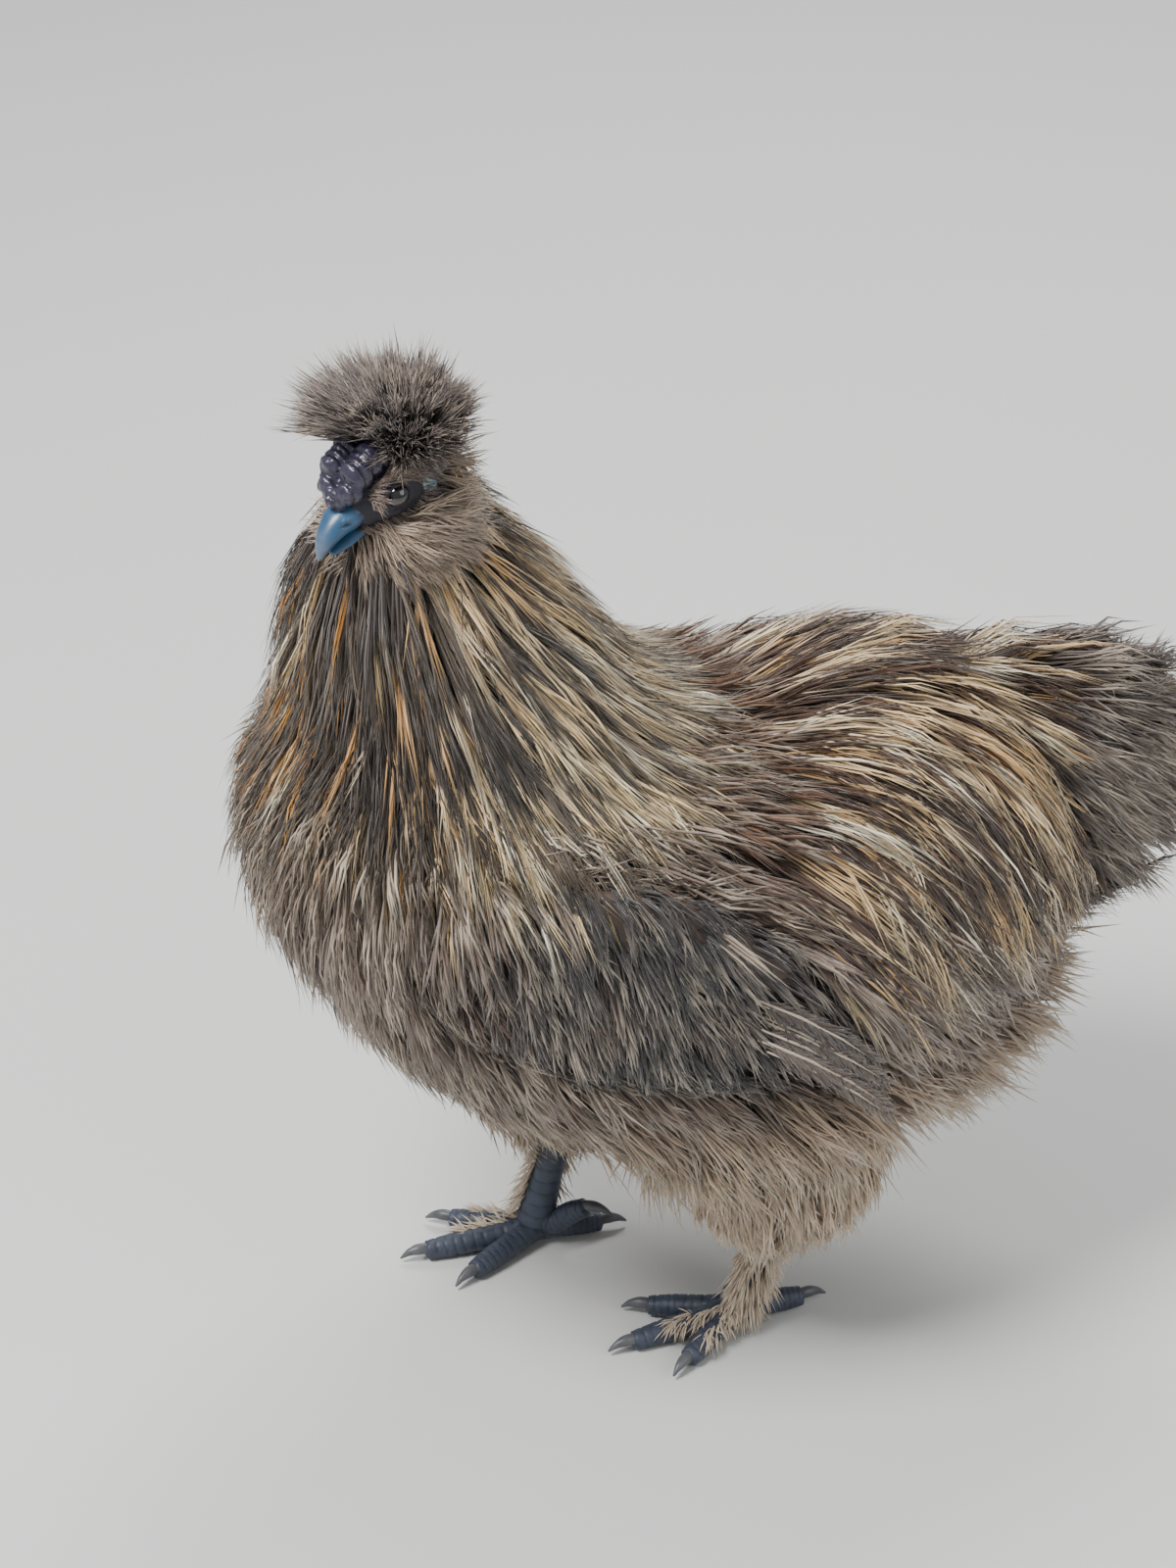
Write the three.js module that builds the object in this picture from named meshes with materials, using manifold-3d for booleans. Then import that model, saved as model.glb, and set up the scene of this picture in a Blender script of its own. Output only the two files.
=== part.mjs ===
// A standing silkie cockerel, life size, in millimetres.
// The bird faces -Y, its left side is +X and the floor is z = 0. The head is turned to the left.
import * as THREE from "three";
import { mergeVertices } from "three/addons/utils/BufferGeometryUtils.js";
import Module from "manifold-3d";

const wasm = await Module();
wasm.setup();

const GAP = 0.3; // clearance between touching sub-parts
const LOCK_GAP = 0.5; // clearance cut round a lock of another sub-part
const DEG = Math.PI / 180;
const v3 = (x, y, z) => new THREE.Vector3(x, y, z);
const DOWN = v3(0, 0, -1);

// Driving sizes of the bird, over the feathers
const COAT = 18; // depth of the outer half of the coat, between the core and the tips of the locks
const HEAD_CENTRE = v3(24, -90, 364);
const HEAD_YAW = 27 * DEG;
const HEAD_PITCH = 12 * DEG;
const EYE = { forward: 8, aside: 11.4, up: 1.5, radius: 4.4 };
const FOOT = { left: v3(38, 33, 0), right: v3(-36, -21, 0) }; // where each shank meets the floor
const SHANK_RADIUS = 5.4;
const TOE_RADIUS = 4.4;
const SIDES = { left: 1, right: -1 };

// Seeded random numbers, so that every build gives the same bird.
function randomFrom(seed) {
  let state = seed;
  return () => {
    state = (state * 1664525 + 1013904223) % 4294967296;
    return state / 4294967296;
  };
}
const random = randomFrom(7);
const vary = (value, share) => value * (1 + share * (2 * random() - 1));

// Solids and booleans

// A closed solid from a three.js geometry, with its faces turned out.
function solid(geometry) {
  const bare = new THREE.BufferGeometry();
  bare.setAttribute("position", geometry.getAttribute("position").clone());
  if (geometry.index) bare.setIndex(geometry.index.clone());
  const merged = mergeVertices(bare, 1e-4);
  const triVerts = new Uint32Array(merged.index.array);
  const build = () =>
    new wasm.Manifold(
      new wasm.Mesh({
        numProp: 3,
        vertProperties: new Float32Array(merged.attributes.position.array),
        triVerts,
      }),
    );
  let made = build();
  if (made.volume() < 0) {
    for (let i = 0; i < triVerts.length; i += 3)
      [triVerts[i + 1], triVerts[i + 2]] = [triVerts[i + 2], triVerts[i + 1]];
    made = build();
  }
  return made;
}

// The same solid with every vertex moved out along its normal.
function inflate(made, by) {
  const mesh = made.getMesh();
  const geometry = new THREE.BufferGeometry();
  const points = new Float32Array(mesh.vertProperties);
  geometry.setAttribute("position", new THREE.BufferAttribute(points, 3));
  geometry.setIndex(new THREE.BufferAttribute(new Uint32Array(mesh.triVerts), 1));
  geometry.computeVertexNormals();
  const normals = geometry.getAttribute("normal").array;
  for (let i = 0; i < points.length; i++) points[i] += by * normals[i];
  return solid(geometry);
}

// The largest closed surface, without loose scraps or sealed hollows.
const largest = (made) =>
  made.decompose().reduce((best, body) => (body.volume() > best.volume() ? body : best));

// The side of the plane through `point` that `normal` points to, less half a gap or the slack given.
const keepSide = (made, normal, point, slack = GAP / 2) =>
  made.trimByPlane(normal.toArray(), normal.dot(point) + slack);

// Forms

// A closed tube through rings of points, ended by two poles.
function ringLoft(rings, startPole, endPole) {
  const sides = rings[0].length;
  const points = [startPole, ...rings.flat(), endPole];
  const faces = [];
  const at = (i, j) => 1 + i * sides + (j % sides);
  for (let j = 0; j < sides; j++) {
    faces.push(0, at(0, j + 1), at(0, j));
    for (let i = 0; i + 1 < rings.length; i++) {
      faces.push(at(i, j), at(i, j + 1), at(i + 1, j));
      faces.push(at(i, j + 1), at(i + 1, j + 1), at(i + 1, j));
    }
    faces.push(at(rings.length - 1, j), at(rings.length - 1, j + 1), points.length - 1);
  }
  const geometry = new THREE.BufferGeometry().setFromPoints(points);
  geometry.setIndex(faces);
  return geometry;
}

// A rounded form with oval sections along a smooth curve. Stations are [point, half width, half height].
class Limb {
  constructor(stations, sideways = v3(1, 0, 0)) {
    this.path = new THREE.CatmullRomCurve3(stations.map(([point]) => point));
    this.size = new THREE.CatmullRomCurve3(stations.map(([, w, h]) => v3(w, h, 0)));
    this.sideways = sideways;
  }
  frame(t) {
    const along = this.path.getTangent(t);
    const across = this.sideways.clone().addScaledVector(along, -this.sideways.dot(along)).normalize();
    return { centre: this.path.getPoint(t), along, across, over: across.clone().cross(along) };
  }
  // The surface point at share t of the length and angle a from `over` towards `across`.
  point(t, a, depth = 0) {
    const { centre, across, over } = this.frame(t);
    const size = this.size.getPoint(t);
    return centre
      .addScaledVector(across, Math.max(size.x - depth, 0.35 * size.x) * Math.sin(a))
      .addScaledVector(over, Math.max(size.y - depth, 0.35 * size.y) * Math.cos(a));
  }
  // The outward normal and the two surface directions there.
  normal(t, a, depth = 0) {
    const step = 0.01;
    const low = Math.max(0, t - step);
    const high = Math.min(1, t + step);
    const along = this.point(high, a, depth).sub(this.point(low, a, depth)).normalize();
    const around = this.point(t, a + step, depth).sub(this.point(t, a - step, depth)).normalize();
    const normal = around.clone().cross(along).normalize();
    const out = this.point(t, a, depth).sub(this.path.getPoint(t));
    if (normal.dot(out) < 0) normal.negate();
    return { normal, along, around };
  }
  solid(sides, steps, depth = 0, bulge = 0.3) {
    const rings = Array.from({ length: steps + 1 }, (_, i) =>
      Array.from({ length: sides }, (_, j) => this.point(i / steps, (2 * Math.PI * j) / sides, depth)),
    );
    const pole = (t, sign) => {
      const reach = bulge * Math.max(0.35 * this.size.getPoint(t).y, this.size.getPoint(t).y - depth);
      return this.path.getPoint(t).addScaledVector(this.path.getTangent(t), sign * reach);
    };
    return solid(ringLoft(rings, pole(0, -1), pole(1, 1)));
  }
}

// The two kinds of feather piece, each as three sections of four corners and a tip.
// `splits` says which way each side's squares are cut, so that opposite faces bend alike.
// `spread` is how much further a clearance reaches past the edges than over the faces.
const LOCK = {
  shares: [0, 0.34, 0.7, 1],
  widths: [0.62, 1, 0.74],
  depths: [0.8, 1, 0.62],
  corners: [[-1, -0.25], [0, 1], [1, -0.25], [0, -1]],
  splits: [true, false, true, false],
  spread: 4,
};
const VANE = {
  shares: [0, 0.34, 0.82, 1],
  widths: [0.5, 1, 0.84],
  depths: [1, 1, 0.8],
  corners: [[-1, 1], [1, 1], [1, -1], [-1, -1]],
  splits: [true, true, false, false],
  spread: 1,
};

// Degrees between a feather piece and its surface, at the root and at the tip
const RISE = 34;
const SETTLE = 6;

// A feather piece that bends from its rise at the root to its settled slope at the tip.
// `grow` makes it larger all round, as the clearance that it needs.
function feather(root, normal, lie, size, grow = 0) {
  const { kind = LOCK, length, width, thick, rise, settle, droop = 0, sink = 7 } = size;
  const slope = (share) => {
    const angle = (rise + (settle - rise) * share) * DEG;
    return lie
      .clone()
      .multiplyScalar(Math.cos(angle))
      .addScaledVector(normal, Math.sin(angle))
      .addScaledVector(DOWN, droop * share)
      .normalize();
  };
  const { shares } = kind;
  const centres = [root.clone().addScaledVector(slope(0), -sink - grow)];
  for (let i = 1; i < shares.length; i++) {
    const extra = { 1: sink + grow, 3: 5 * grow }[i] ?? 0;
    const reach = (shares[i] - shares[i - 1]) * length + extra;
    centres.push(centres[i - 1].clone().addScaledVector(slope((shares[i] + shares[i - 1]) / 2), reach));
  }
  const points = [];
  for (let i = 0; i < 3; i++) {
    const along = slope(shares[i]);
    const side = along.clone().cross(normal).normalize();
    const over = side.clone().cross(along).normalize();
    const w = (kind.widths[i] * width) / 2 + kind.spread * grow;
    const h = (kind.depths[i] * thick) / 2 + grow;
    for (const [x, y] of kind.corners) {
      points.push(centres[i].clone().addScaledVector(side, x * w).addScaledVector(over, y * h));
    }
  }
  points.push(centres[3]);
  const faces = [0, 3, 2, 0, 2, 1];
  for (let i = 0; i < 3; i++) {
    for (let j = 0; j < 4; j++) {
      const [p, q] = [4 * i + j, 4 * i + ((j + 1) % 4)];
      if (i === 2) faces.push(p, q, 12);
      else if (kind.splits[j]) faces.push(p, q, q + 4, p, q + 4, p + 4);
      else faces.push(p, q, p + 4, q, q + 4, p + 4);
    }
  }
  const geometry = new THREE.BufferGeometry().setFromPoints(points);
  geometry.setIndex(faces);
  return solid(geometry);
}
const withCutter = (root, normal, lie, size) => ({
  piece: feather(root, normal, lie, size),
  cutter: feather(root, normal, lie, size, LOCK_GAP),
});

// Feather pieces in staggered rows on a form. Each row has its share of the length, its angles and its sizes.
// Every second piece of a row rises more, by `lift` degrees, so that it lies over its neighbours.
function featherRows(form, depth, rows, lieAt, keep = () => true) {
  const made = [];
  rows.forEach(({ t, from = -180, to = 180, count, lift = 4, ...size }, row) => {
    for (let k = 0; k < count; k++) {
      const share = (k + 0.5 + (row % 2 ? 0.25 : -0.25) + 0.16 * (random() - 0.5)) / count;
      const a = (from + (to - from) * share) * DEG;
      const root = form.point(t, a, depth);
      const extra = lift * (k % 2);
      const sizes = {
        ...size,
        length: vary(size.length, 0.09),
        width: vary(size.width, 0.08),
        rise: (size.rise ?? RISE) + extra,
        settle: (size.settle ?? SETTLE) + 0.6 * extra,
      };
      if (!keep(root, a)) continue;
      const surface = form.normal(t, a, depth);
      const lie = lieAt(surface, root, a);
      lie.addScaledVector(surface.normal, -lie.dot(surface.normal)).normalize();
      made.push(withCutter(root, surface.normal, lie, sizes));
    }
  });
  return made;
}

// Body: breast, back, saddle and rump, as one form that thin cuts divide

const bodyForm = new Limb(
  [
    // y, top, underside, half width, over the feathers
    [-112, 266, 232, 30],
    [-106, 286, 202, 58],
    [-88, 296, 160, 84],
    [-52, 296, 116, 99],
    [-6, 274, 82, 107],
    [38, 262, 68, 107],
    [78, 268, 72, 99],
    [110, 272, 92, 84],
    [138, 266, 118, 62],
    [152, 248, 148, 36],
  ].map(([y, top, under, half]) => [v3(0, y, (top + under) / 2), half, (top - under) / 2]),
);
const BREAST_END = -38;
const SADDLE_START = 56;
const SADDLE_FLOOR = 176;

const neckForm = new Limb([
  [v3(-2, -54, 240), 82, 72],
  [v3(1, -68, 284), 66, 56],
  [v3(10, -80, 318), 44, 41],
  [v3(18, -88, 344), 29, 28],
  [v3(21, -87, 362), 21, 20],
]);
const NECK_COAT = 13;

// Head: its own frame has x forward, y to its left and z up.
const headTurn = new THREE.Matrix4()
  .makeTranslation(HEAD_CENTRE.x, HEAD_CENTRE.y, HEAD_CENTRE.z)
  .multiply(new THREE.Matrix4().makeRotationZ(HEAD_YAW - Math.PI / 2))
  .multiply(new THREE.Matrix4().makeRotationY(HEAD_PITCH));
const inHead = (x, y, z) => v3(x, y, z).applyMatrix4(headTurn);
const headWay = (x, y, z) => v3(x, y, z).transformDirection(headTurn);
const headForm = (stations) =>
  new Limb(stations.map(([x, z, w, h]) => [inHead(x, 0, z), w, h]), headWay(0, 1, 0));

const skullForm = headForm([
  // forward, up, half width, half height
  [-20, 0, 8, 8],
  [-12, 1, 14, 15],
  [0, 0, 15.5, 16],
  [12, -1, 11.5, 12],
  [20, -3, 6.5, 7.5],
]);
const crestForm = headForm([
  [-20, 6, 9, 8],
  [-13, 12, 18, 13],
  [-3, 15, 19, 13],
  [6, 17, 12, 9],
]);
const beardForm = headForm([
  [-12, -9, 12, 8],
  [-4, -13, 18, 9],
  [6, -15, 15, 8],
  [13, -16, 7, 5],
]);
// The comb: a cushion of bulbs between two furrows.
const COMB_BULBS = [
  // forward, left, up, radius
  [11, -4.6, 14, 6],
  [10.5, 4.8, 14.5, 6],
  [16.5, -4.8, 12.4, 5.6],
  [16.5, 4.6, 12.6, 5.8],
  [20.5, -4.2, 8, 4.8],
  [20.5, 4.2, 8, 4.8],
  [23.2, 0, 5.2, 4.6],
];
function bulb(x, y, z, radii, segments = 7) {
  const shape = new THREE.SphereGeometry(1, segments, Math.round(0.6 * segments)).scale(...radii);
  return solid(shape.applyMatrix4(headTurn.clone().multiply(new THREE.Matrix4().makeTranslation(x, y, z))));
}
const combSolid = (grow = 0) =>
  wasm.Manifold.union(
    COMB_BULBS.map(([x, y, z, r]) => bulb(x, y, z, [0.9 * r, r, 0.9 * r].map((radius) => radius + grow))),
  );

const upperBeakForm = headForm([
  [19, -2, 7, 5.6],
  [26, -3.5, 5.4, 4.6],
  [32, -7, 3.4, 3],
  [35.5, -11.5, 1.1, 1.1],
]);
const lowerBeakForm = headForm([
  [18, -9.3, 5.6, 2.8],
  [25, -11, 4.2, 2.2],
  [30, -12.6, 1.6, 1.1],
]);

const wingForm = (side) =>
  new Limb([
    [v3(side * 66, -92, 208), 10, 20],
    [v3(side * 79, -70, 204), 11, 33],
    [v3(side * 89, -30, 194), 11, 38],
    [v3(side * 92, 6, 178), 10, 33],
    [v3(side * 89, 34, 158), 7, 20],
    [v3(side * 85, 50, 144), 4, 8],
  ]);

const tailForm = new Limb([
  [v3(0, 112, 204), 50, 62],
  [v3(0, 148, 199), 55, 76],
  [v3(0, 184, 196), 42, 62],
  [v3(0, 206, 194), 18, 34],
]);

const thighForm = (side, foot) =>
  new Limb([
    [v3(foot.x + side * 15, foot.y + 10, 124), 32, 40],
    [v3(foot.x + side * 15, foot.y + 10, 94), 36, 46],
    [v3(foot.x + side * 11, foot.y + 12, 68), 30, 38],
    [v3(foot.x + side * 6, foot.y + 14, 50), 17, 22],
  ]);

// The fifth toe, above the hind one, points up and back.
const TOES = [
  { name: "inner", turn: -28, length: 33 },
  { name: "middle", turn: 4, length: 42 },
  { name: "outer", turn: 36, length: 33 },
  { name: "hind", turn: -176, length: 26 },
  { name: "fifth", turn: -146, length: 20, root: 13, lift: 15 },
];
const ANKLE = 15; // the level at which the shank ends and the foot begins
function shankForm(side, foot) {
  return new Limb([
    [v3(foot.x + side * 5, foot.y + 22, 88), 8, 9],
    [v3(foot.x + side * 4, foot.y + 18, 70), 7, 8],
    [v3(foot.x + side * 2, foot.y + 8, 36), SHANK_RADIUS, SHANK_RADIUS],
    [v3(foot.x, foot.y, 9), 6.6, 7],
  ]);
}
function toePath(side, foot, { turn, length, root = 7, lift = 0 }) {
  const way = v3(side * Math.sin(turn * DEG), -Math.cos(turn * DEG), 0);
  const at = (share, z) => foot.clone().addScaledVector(way, share * length).setZ(z + share * lift);
  return { way, at, across: v3(way.y, -way.x, 0), root };
}
function toeSolid(side, foot, toe) {
  const { at, across, root } = toePath(side, foot, toe);
  const stations = [
    [at(0, root), 5, 5],
    [at(0.45, toe.lift ? root : 4.2), TOE_RADIUS, TOE_RADIUS],
    [at(0.8, toe.lift ? root - 2 : 3.4), 3.9, 3.7],
    [at(1, toe.lift ? root - 3 : 3), 2.7, 2.6],
  ];
  return new Limb(stations, across).solid(6, 2);
}
function clawSolid(side, foot, toe) {
  const { at, across, root } = toePath(side, foot, toe);
  const z = toe.lift ? root - 3 : 3.4;
  const stations = [
    [at(1, z), 1.9, 2],
    [at(1.14, z - 0.2), 1.5, 1.6],
    [at(1.28, z - 2), 0.7, 0.7],
  ];
  return new Limb(stations, across).solid(6, 3).trimByPlane([0, 0, 1], 0);
}

// Eyelids, nostrils and ear lobes
const eyeCentre = (side) => inHead(EYE.forward, side * EYE.aside, EYE.up);
function lids(side) {
  const ring = new THREE.TorusGeometry(EYE.radius + 0.4, 1.3, 4, 10);
  const out = headWay(0.22, side, 0.12);
  const turn = new THREE.Quaternion().setFromUnitVectors(v3(0, 0, 1), out);
  ring.scale(1.12, 0.86, 1).applyQuaternion(turn);
  const at = eyeCentre(side).addScaledVector(out, 1.6);
  return solid(ring.translate(at.x, at.y, at.z));
}
const nostril = (side) => bulb(26, side * 4.9, -2.2, [1.9, 1.3, 0.8], 6);

// How feathers lie: down the breast, then back along the body.
function bodyLie(surface, root, a) {
  const front = THREE.MathUtils.clamp((-30 - root.y) / 80, 0, 1);
  return v3(0, 1 - 0.7 * front, -0.2 - 0.9 * front - 0.25 * Math.abs(Math.sin(a)));
}
const saddleLie = (surface, root, a) => v3(0.35 * Math.sin(a), 1, -0.4);
const towards = (x, y, z) => () => v3(x, y, z);
const alongPath = (surface) => surface.along.clone();
const againstPath = (surface) => surface.along.clone().negate();

// Where no body feathers grow, because a wing, the neck or a thigh lies over the place.
const underWing = ({ x, y, z }) => {
  const middle = 198 - 0.42 * Math.max(y + 30, 0);
  return Math.abs(x) > 60 && y > -84 && y < 62 && Math.abs(z - middle) < 44;
};
const underNeck = ({ x, y, z }) => z > 216 && Math.hypot(x, y + 50) < 72;
const underThigh = ({ x, y, z }) =>
  Object.entries(FOOT).some(([name, foot]) => {
    const aside = x - foot.x - 13 * SIDES[name];
    return z < 118 && Math.hypot(aside, y - foot.y - 10) < 40;
  });
const open = (root) => !underWing(root) && !underNeck(root) && !underThigh(root);

const BODY_FEATHER = { length: 58, width: 31, thick: 5.5 };
const SADDLE_FEATHER = { length: 82, width: 22, thick: 4, rise: 22, settle: 0, droop: 0.25 };
const ROOT_CLEAR = 7; // how far feather roots keep from the cut that ends a sub-part
function bodyFeathers(rows, keep) {
  const made = rows.map(([t, count, more = {}]) => ({ t, count, ...BODY_FEATHER, ...more }));
  return featherRows(bodyForm, COAT, made, bodyLie, keep);
}
const breastFeathers = () =>
  bodyFeathers(
    [
      [0.05, 7, { length: 46, rise: 10, settle: -12 }],
      [0.15, 11, { length: 50, rise: 22, settle: -6 }],
      [0.235, 12, { rise: 30, settle: 0 }],
      [0.32, 12],
    ],
    (root) => open(root) && root.y < BREAST_END - ROOT_CLEAR,
  );
const torsoFeathers = () =>
  bodyFeathers(
    [[0.39, 12], [0.465, 12], [0.54, 12]],
    (root) => open(root) && root.y > BREAST_END + ROOT_CLEAR && root.y < SADDLE_START - ROOT_CLEAR,
  );
const abdomenFeathers = () =>
  bodyFeathers(
    [[0.64, 11], [0.74, 10], [0.85, 8, { length: 50 }]],
    (root) => open(root) && root.z < SADDLE_FLOOR - ROOT_CLEAR,
  );
function saddleFeathers() {
  const rows = [[0.635, 8], [0.735, 7], [0.85, 6]].map(([t, count]) => ({
    t,
    count,
    from: -100,
    to: 100,
    ...SADDLE_FEATHER,
  }));
  return featherRows(bodyForm, COAT, rows, saddleLie, (root) => root.z > SADDLE_FLOOR + 4);
}

const HACKLE = { thick: 3.6, rise: 26, settle: 4, droop: 0.15 };
const hackle = (t, count, length, width) => ({ t, count, length, width, ...HACKLE });
const neckHackles = () =>
  featherRows(
    neckForm,
    NECK_COAT,
    [hackle(0.19, 11, 80, 27), hackle(0.4, 10, 80, 24), hackle(0.6, 9, 66, 18), hackle(0.82, 7, 50, 14)],
    againstPath,
  );

// The crest fans out from one place on the skull, its outer feathers leaning most.
function crestFeathers() {
  const made = [];
  const centre = inHead(-6, 0, 10);
  const rings = [[12, 3], [42, 6], [76, 9]];
  rings.forEach(([tilt, count], ring) => {
    for (let k = 0; k < count; k++) {
      const turn = (2 * Math.PI * (k + 0.5 * (ring % 2))) / count + 0.3 * (random() - 0.5);
      const lean = vary(tilt, 0.08) * DEG;
      const ahead = Math.sin(lean) * Math.cos(turn) - 0.16;
      const lie = headWay(ahead, Math.sin(lean) * Math.sin(turn), Math.cos(lean));
      const forward = Math.cos(turn) * Math.sin(lean);
      if (forward > 0.5) continue; // the comb stands there
      const flat = -Math.cos(lean);
      const normal = headWay(flat * Math.cos(turn), flat * Math.sin(turn), Math.sin(lean));
      const root = centre.clone().addScaledVector(lie, 12);
      const bend = { thick: 4.4, rise: 4, settle: -18, sink: 5 };
      const size = { length: vary(24, 0.12), width: vary(16, 0.1), ...bend };
      made.push(withCutter(root, normal, lie, size));
    }
  });
  return made;
}
const beardFeathers = () =>
  featherRows(beardForm, 0, [
    { t: 0.2, count: 6, from: 60, to: 300, length: 21, width: 13, thick: 3.6, sink: 5 },
    { t: 0.68, count: 6, from: 60, to: 300, length: 17, width: 11, thick: 3.4, sink: 5 },
  ], (surface, root, a) => headWay(-0.7, 0.3 * Math.sin(a), -0.75));

// Wing: coverts in short tiers over long flight vanes
function wingFeathers(side) {
  const outer = (from, to) => (side > 0 ? { from, to } : { from: -to, to: -from });
  const tier = (t, count, length, width, from, to, more = {}) => ({
    t, count, length, width, thick: 3, rise: 22, settle: 5, sink: 6, ...outer(from, to), ...more,
  });
  const vane = { kind: VANE, thick: 1.4, rise: 10, settle: 2, droop: 0.1, sink: 10, lift: 6 };
  return featherRows(wingForm(side), 2, [
    tier(0.16, 3, 42, 22, 20, 160),
    tier(0.4, 4, 46, 21, 10, 170),
    tier(0.58, 4, 62, 16, 14, 170, vane),
    tier(0.76, 4, 58, 12, 20, 180, vane),
  ], (surface) => surface.along.clone().add(v3(0, 0.25, 0)));
}

// Tail: coverts over tiers of loose vanes
function tailFeathers() {
  const vane = { kind: VANE, thick: 1.6, rise: 22, settle: -2, droop: 0.2, sink: 10, lift: 7 };
  return featherRows(tailForm, 24, [
    { t: 0.1, count: 7, from: -125, to: 125, length: 62, width: 26, ...vane },
    { t: 0.38, count: 8, from: -160, to: 160, length: 60, width: 24, ...vane },
    { t: 0.66, count: 7, length: 52, width: 22, ...vane },
  ], towards(0, 1, 0));
}
const thighFeathers = (side, foot) =>
  featherRows(thighForm(side, foot), 12, [
    { t: 0.5, count: 5, length: 42, width: 32, thick: 5 },
    { t: 0.85, count: 4, length: 24, width: 22, thick: 4.5 },
  ], alongPath);
// The tufts on the outer side of each shank, down to the toes
const shankFeathers = (side, foot) =>
  featherRows(shankForm(side, foot), 0, [
    { t: 0.34, count: 3, from: 30, to: 150, length: 26, width: 12, thick: 3, rise: 40, settle: 12, sink: 4 },
    { t: 0.62, count: 3, from: 20, to: 160, length: 24, width: 11, thick: 3, rise: 44, settle: 20, sink: 4 },
  ].map((row) => (side > 0 ? row : { ...row, from: -row.to, to: -row.from })), alongPath);

// Sub-parts in order from the outermost: each later one is cut clear of the earlier ones.
// A sub-part's cutter is its own core, grown by the gap, unless another is given.
const BROWN = 0x8a7360;
const GOLD = 0xc2a05a;
const DARK = 0x4c423c;
const SKIN = 0x2c2c3a;
const BLUE = 0x4f7590;
const LOBE = 0x8fb2bc;
const nodes = [];
function addNode(name, core, more = {}) {
  const { feathers = [], color = BROWN, roughness = 0.9, cutter = inflate(core, GAP), trim = null } = more;
  nodes.push({ name, core, feathers, color, roughness, cutter, trim });
}

for (const [name, side] of Object.entries(SIDES)) {
  const at = eyeCentre(side);
  const ball = new THREE.SphereGeometry(EYE.radius, 10, 7).translate(at.x, at.y, at.z);
  addNode("eye_" + name, solid(ball), { color: DARK, roughness: 0.1 });
}
const lidRings = Object.values(SIDES).map((side) => {
  const piece = lids(side);
  return { piece, cutter: inflate(piece, GAP) };
});
addNode("head", skullForm.solid(12, 6), { feathers: lidRings });
addNode("comb", combSolid(), { color: SKIN, cutter: combSolid(1.4 * GAP) });
const upperBeak = upperBeakForm.solid(8, 5).subtract(nostril(1)).subtract(nostril(-1));
const upperBeakCutter = inflate(upperBeakForm.solid(8, 5), GAP);
addNode("beak_upper", upperBeak, { color: BLUE, roughness: 0.5, cutter: upperBeakCutter });
addNode("beak_lower", lowerBeakForm.solid(8, 4), { color: BLUE, roughness: 0.5 });
for (const [name, side] of Object.entries(SIDES)) {
  addNode("ear_" + name, bulb(-3.5, side * 14.4, 0.5, [3.6, 1.8, 4.8]), { color: LOBE });
}
addNode("crest", crestForm.solid(12, 5), { feathers: crestFeathers() });
addNode("beard", beardForm.solid(12, 5), { feathers: beardFeathers() });
addNode("neck", neckForm.solid(12, 4, NECK_COAT, 0.1), { color: GOLD, feathers: neckHackles() });

const body = bodyForm.solid(18, 12, COAT, 0.15);
const cutAt = (y) => v3(0, y, 0);
const saddleFloor = v3(0, 0, SADDLE_FLOOR);
const bodyParts = {
  breast: { sides: [[v3(0, -1, 0), cutAt(BREAST_END)]], feathers: breastFeathers() },
  torso: {
    sides: [[v3(0, 1, 0), cutAt(BREAST_END)], [v3(0, -1, 0), cutAt(SADDLE_START)]],
    feathers: torsoFeathers(),
  },
  saddle: {
    sides: [[v3(0, 1, 0), cutAt(SADDLE_START)], [v3(0, 0, 1), saddleFloor]],
    feathers: saddleFeathers(),
  },
  abdomen: {
    sides: [[v3(0, 1, 0), cutAt(SADDLE_START)], [v3(0, 0, -1), saddleFloor]],
    feathers: abdomenFeathers(),
  },
};
// The cutter of each body sub-part reaches almost to the next one's face.
const REACH = 0.1 - GAP / 2;
for (const [name, { sides, feathers }] of Object.entries(bodyParts)) {
  const core = sides.reduce((made, [normal, point]) => keepSide(made, normal, point), body);
  const keep = (made, [normal, point]) => keepSide(made, normal, point, REACH);
  const cutter = sides.reduce(keep, inflate(body, GAP));
  addNode(name, core, { feathers, cutter });
}
for (const [name, side] of Object.entries(SIDES)) {
  addNode("wing_" + name, wingForm(side).solid(10, 6, 2), { color: DARK, feathers: wingFeathers(side) });
}
addNode("tail", tailForm.solid(12, 4, 24), { color: DARK, feathers: tailFeathers() });
for (const [name, side] of Object.entries(SIDES)) {
  const foot = FOOT[name];
  for (const toe of TOES) {
    addNode("claw_" + toe.name + "_" + name, clawSolid(side, foot, toe), { color: SKIN, roughness: 0.5 });
  }
  const shank = shankForm(side, foot).solid(7, 4);
  const toes = TOES.map((toe) => toeSolid(side, foot, toe));
  const ankle = v3(0, 0, ANKLE);
  const footSolid = wasm.Manifold.union([keepSide(shank, DOWN, ankle), ...toes]).trimByPlane([0, 0, 1], 0);
  addNode("foot_" + name, footSolid, { color: SKIN });
  const leg = keepSide(shank, v3(0, 0, 1), ankle);
  addNode("leg_" + name, leg, { color: SKIN, feathers: shankFeathers(side, foot), trim: 1 });
  addNode("thigh_" + name, thighForm(side, foot).solid(9, 3, 12), { feathers: thighFeathers(side, foot) });
}

// Whether two boxes come within a gap of each other.
const near = (a, b) =>
  [0, 1, 2].every((i) => a.min[i] - 1 < b.max[i] && b.min[i] - 1 < a.max[i]);

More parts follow.
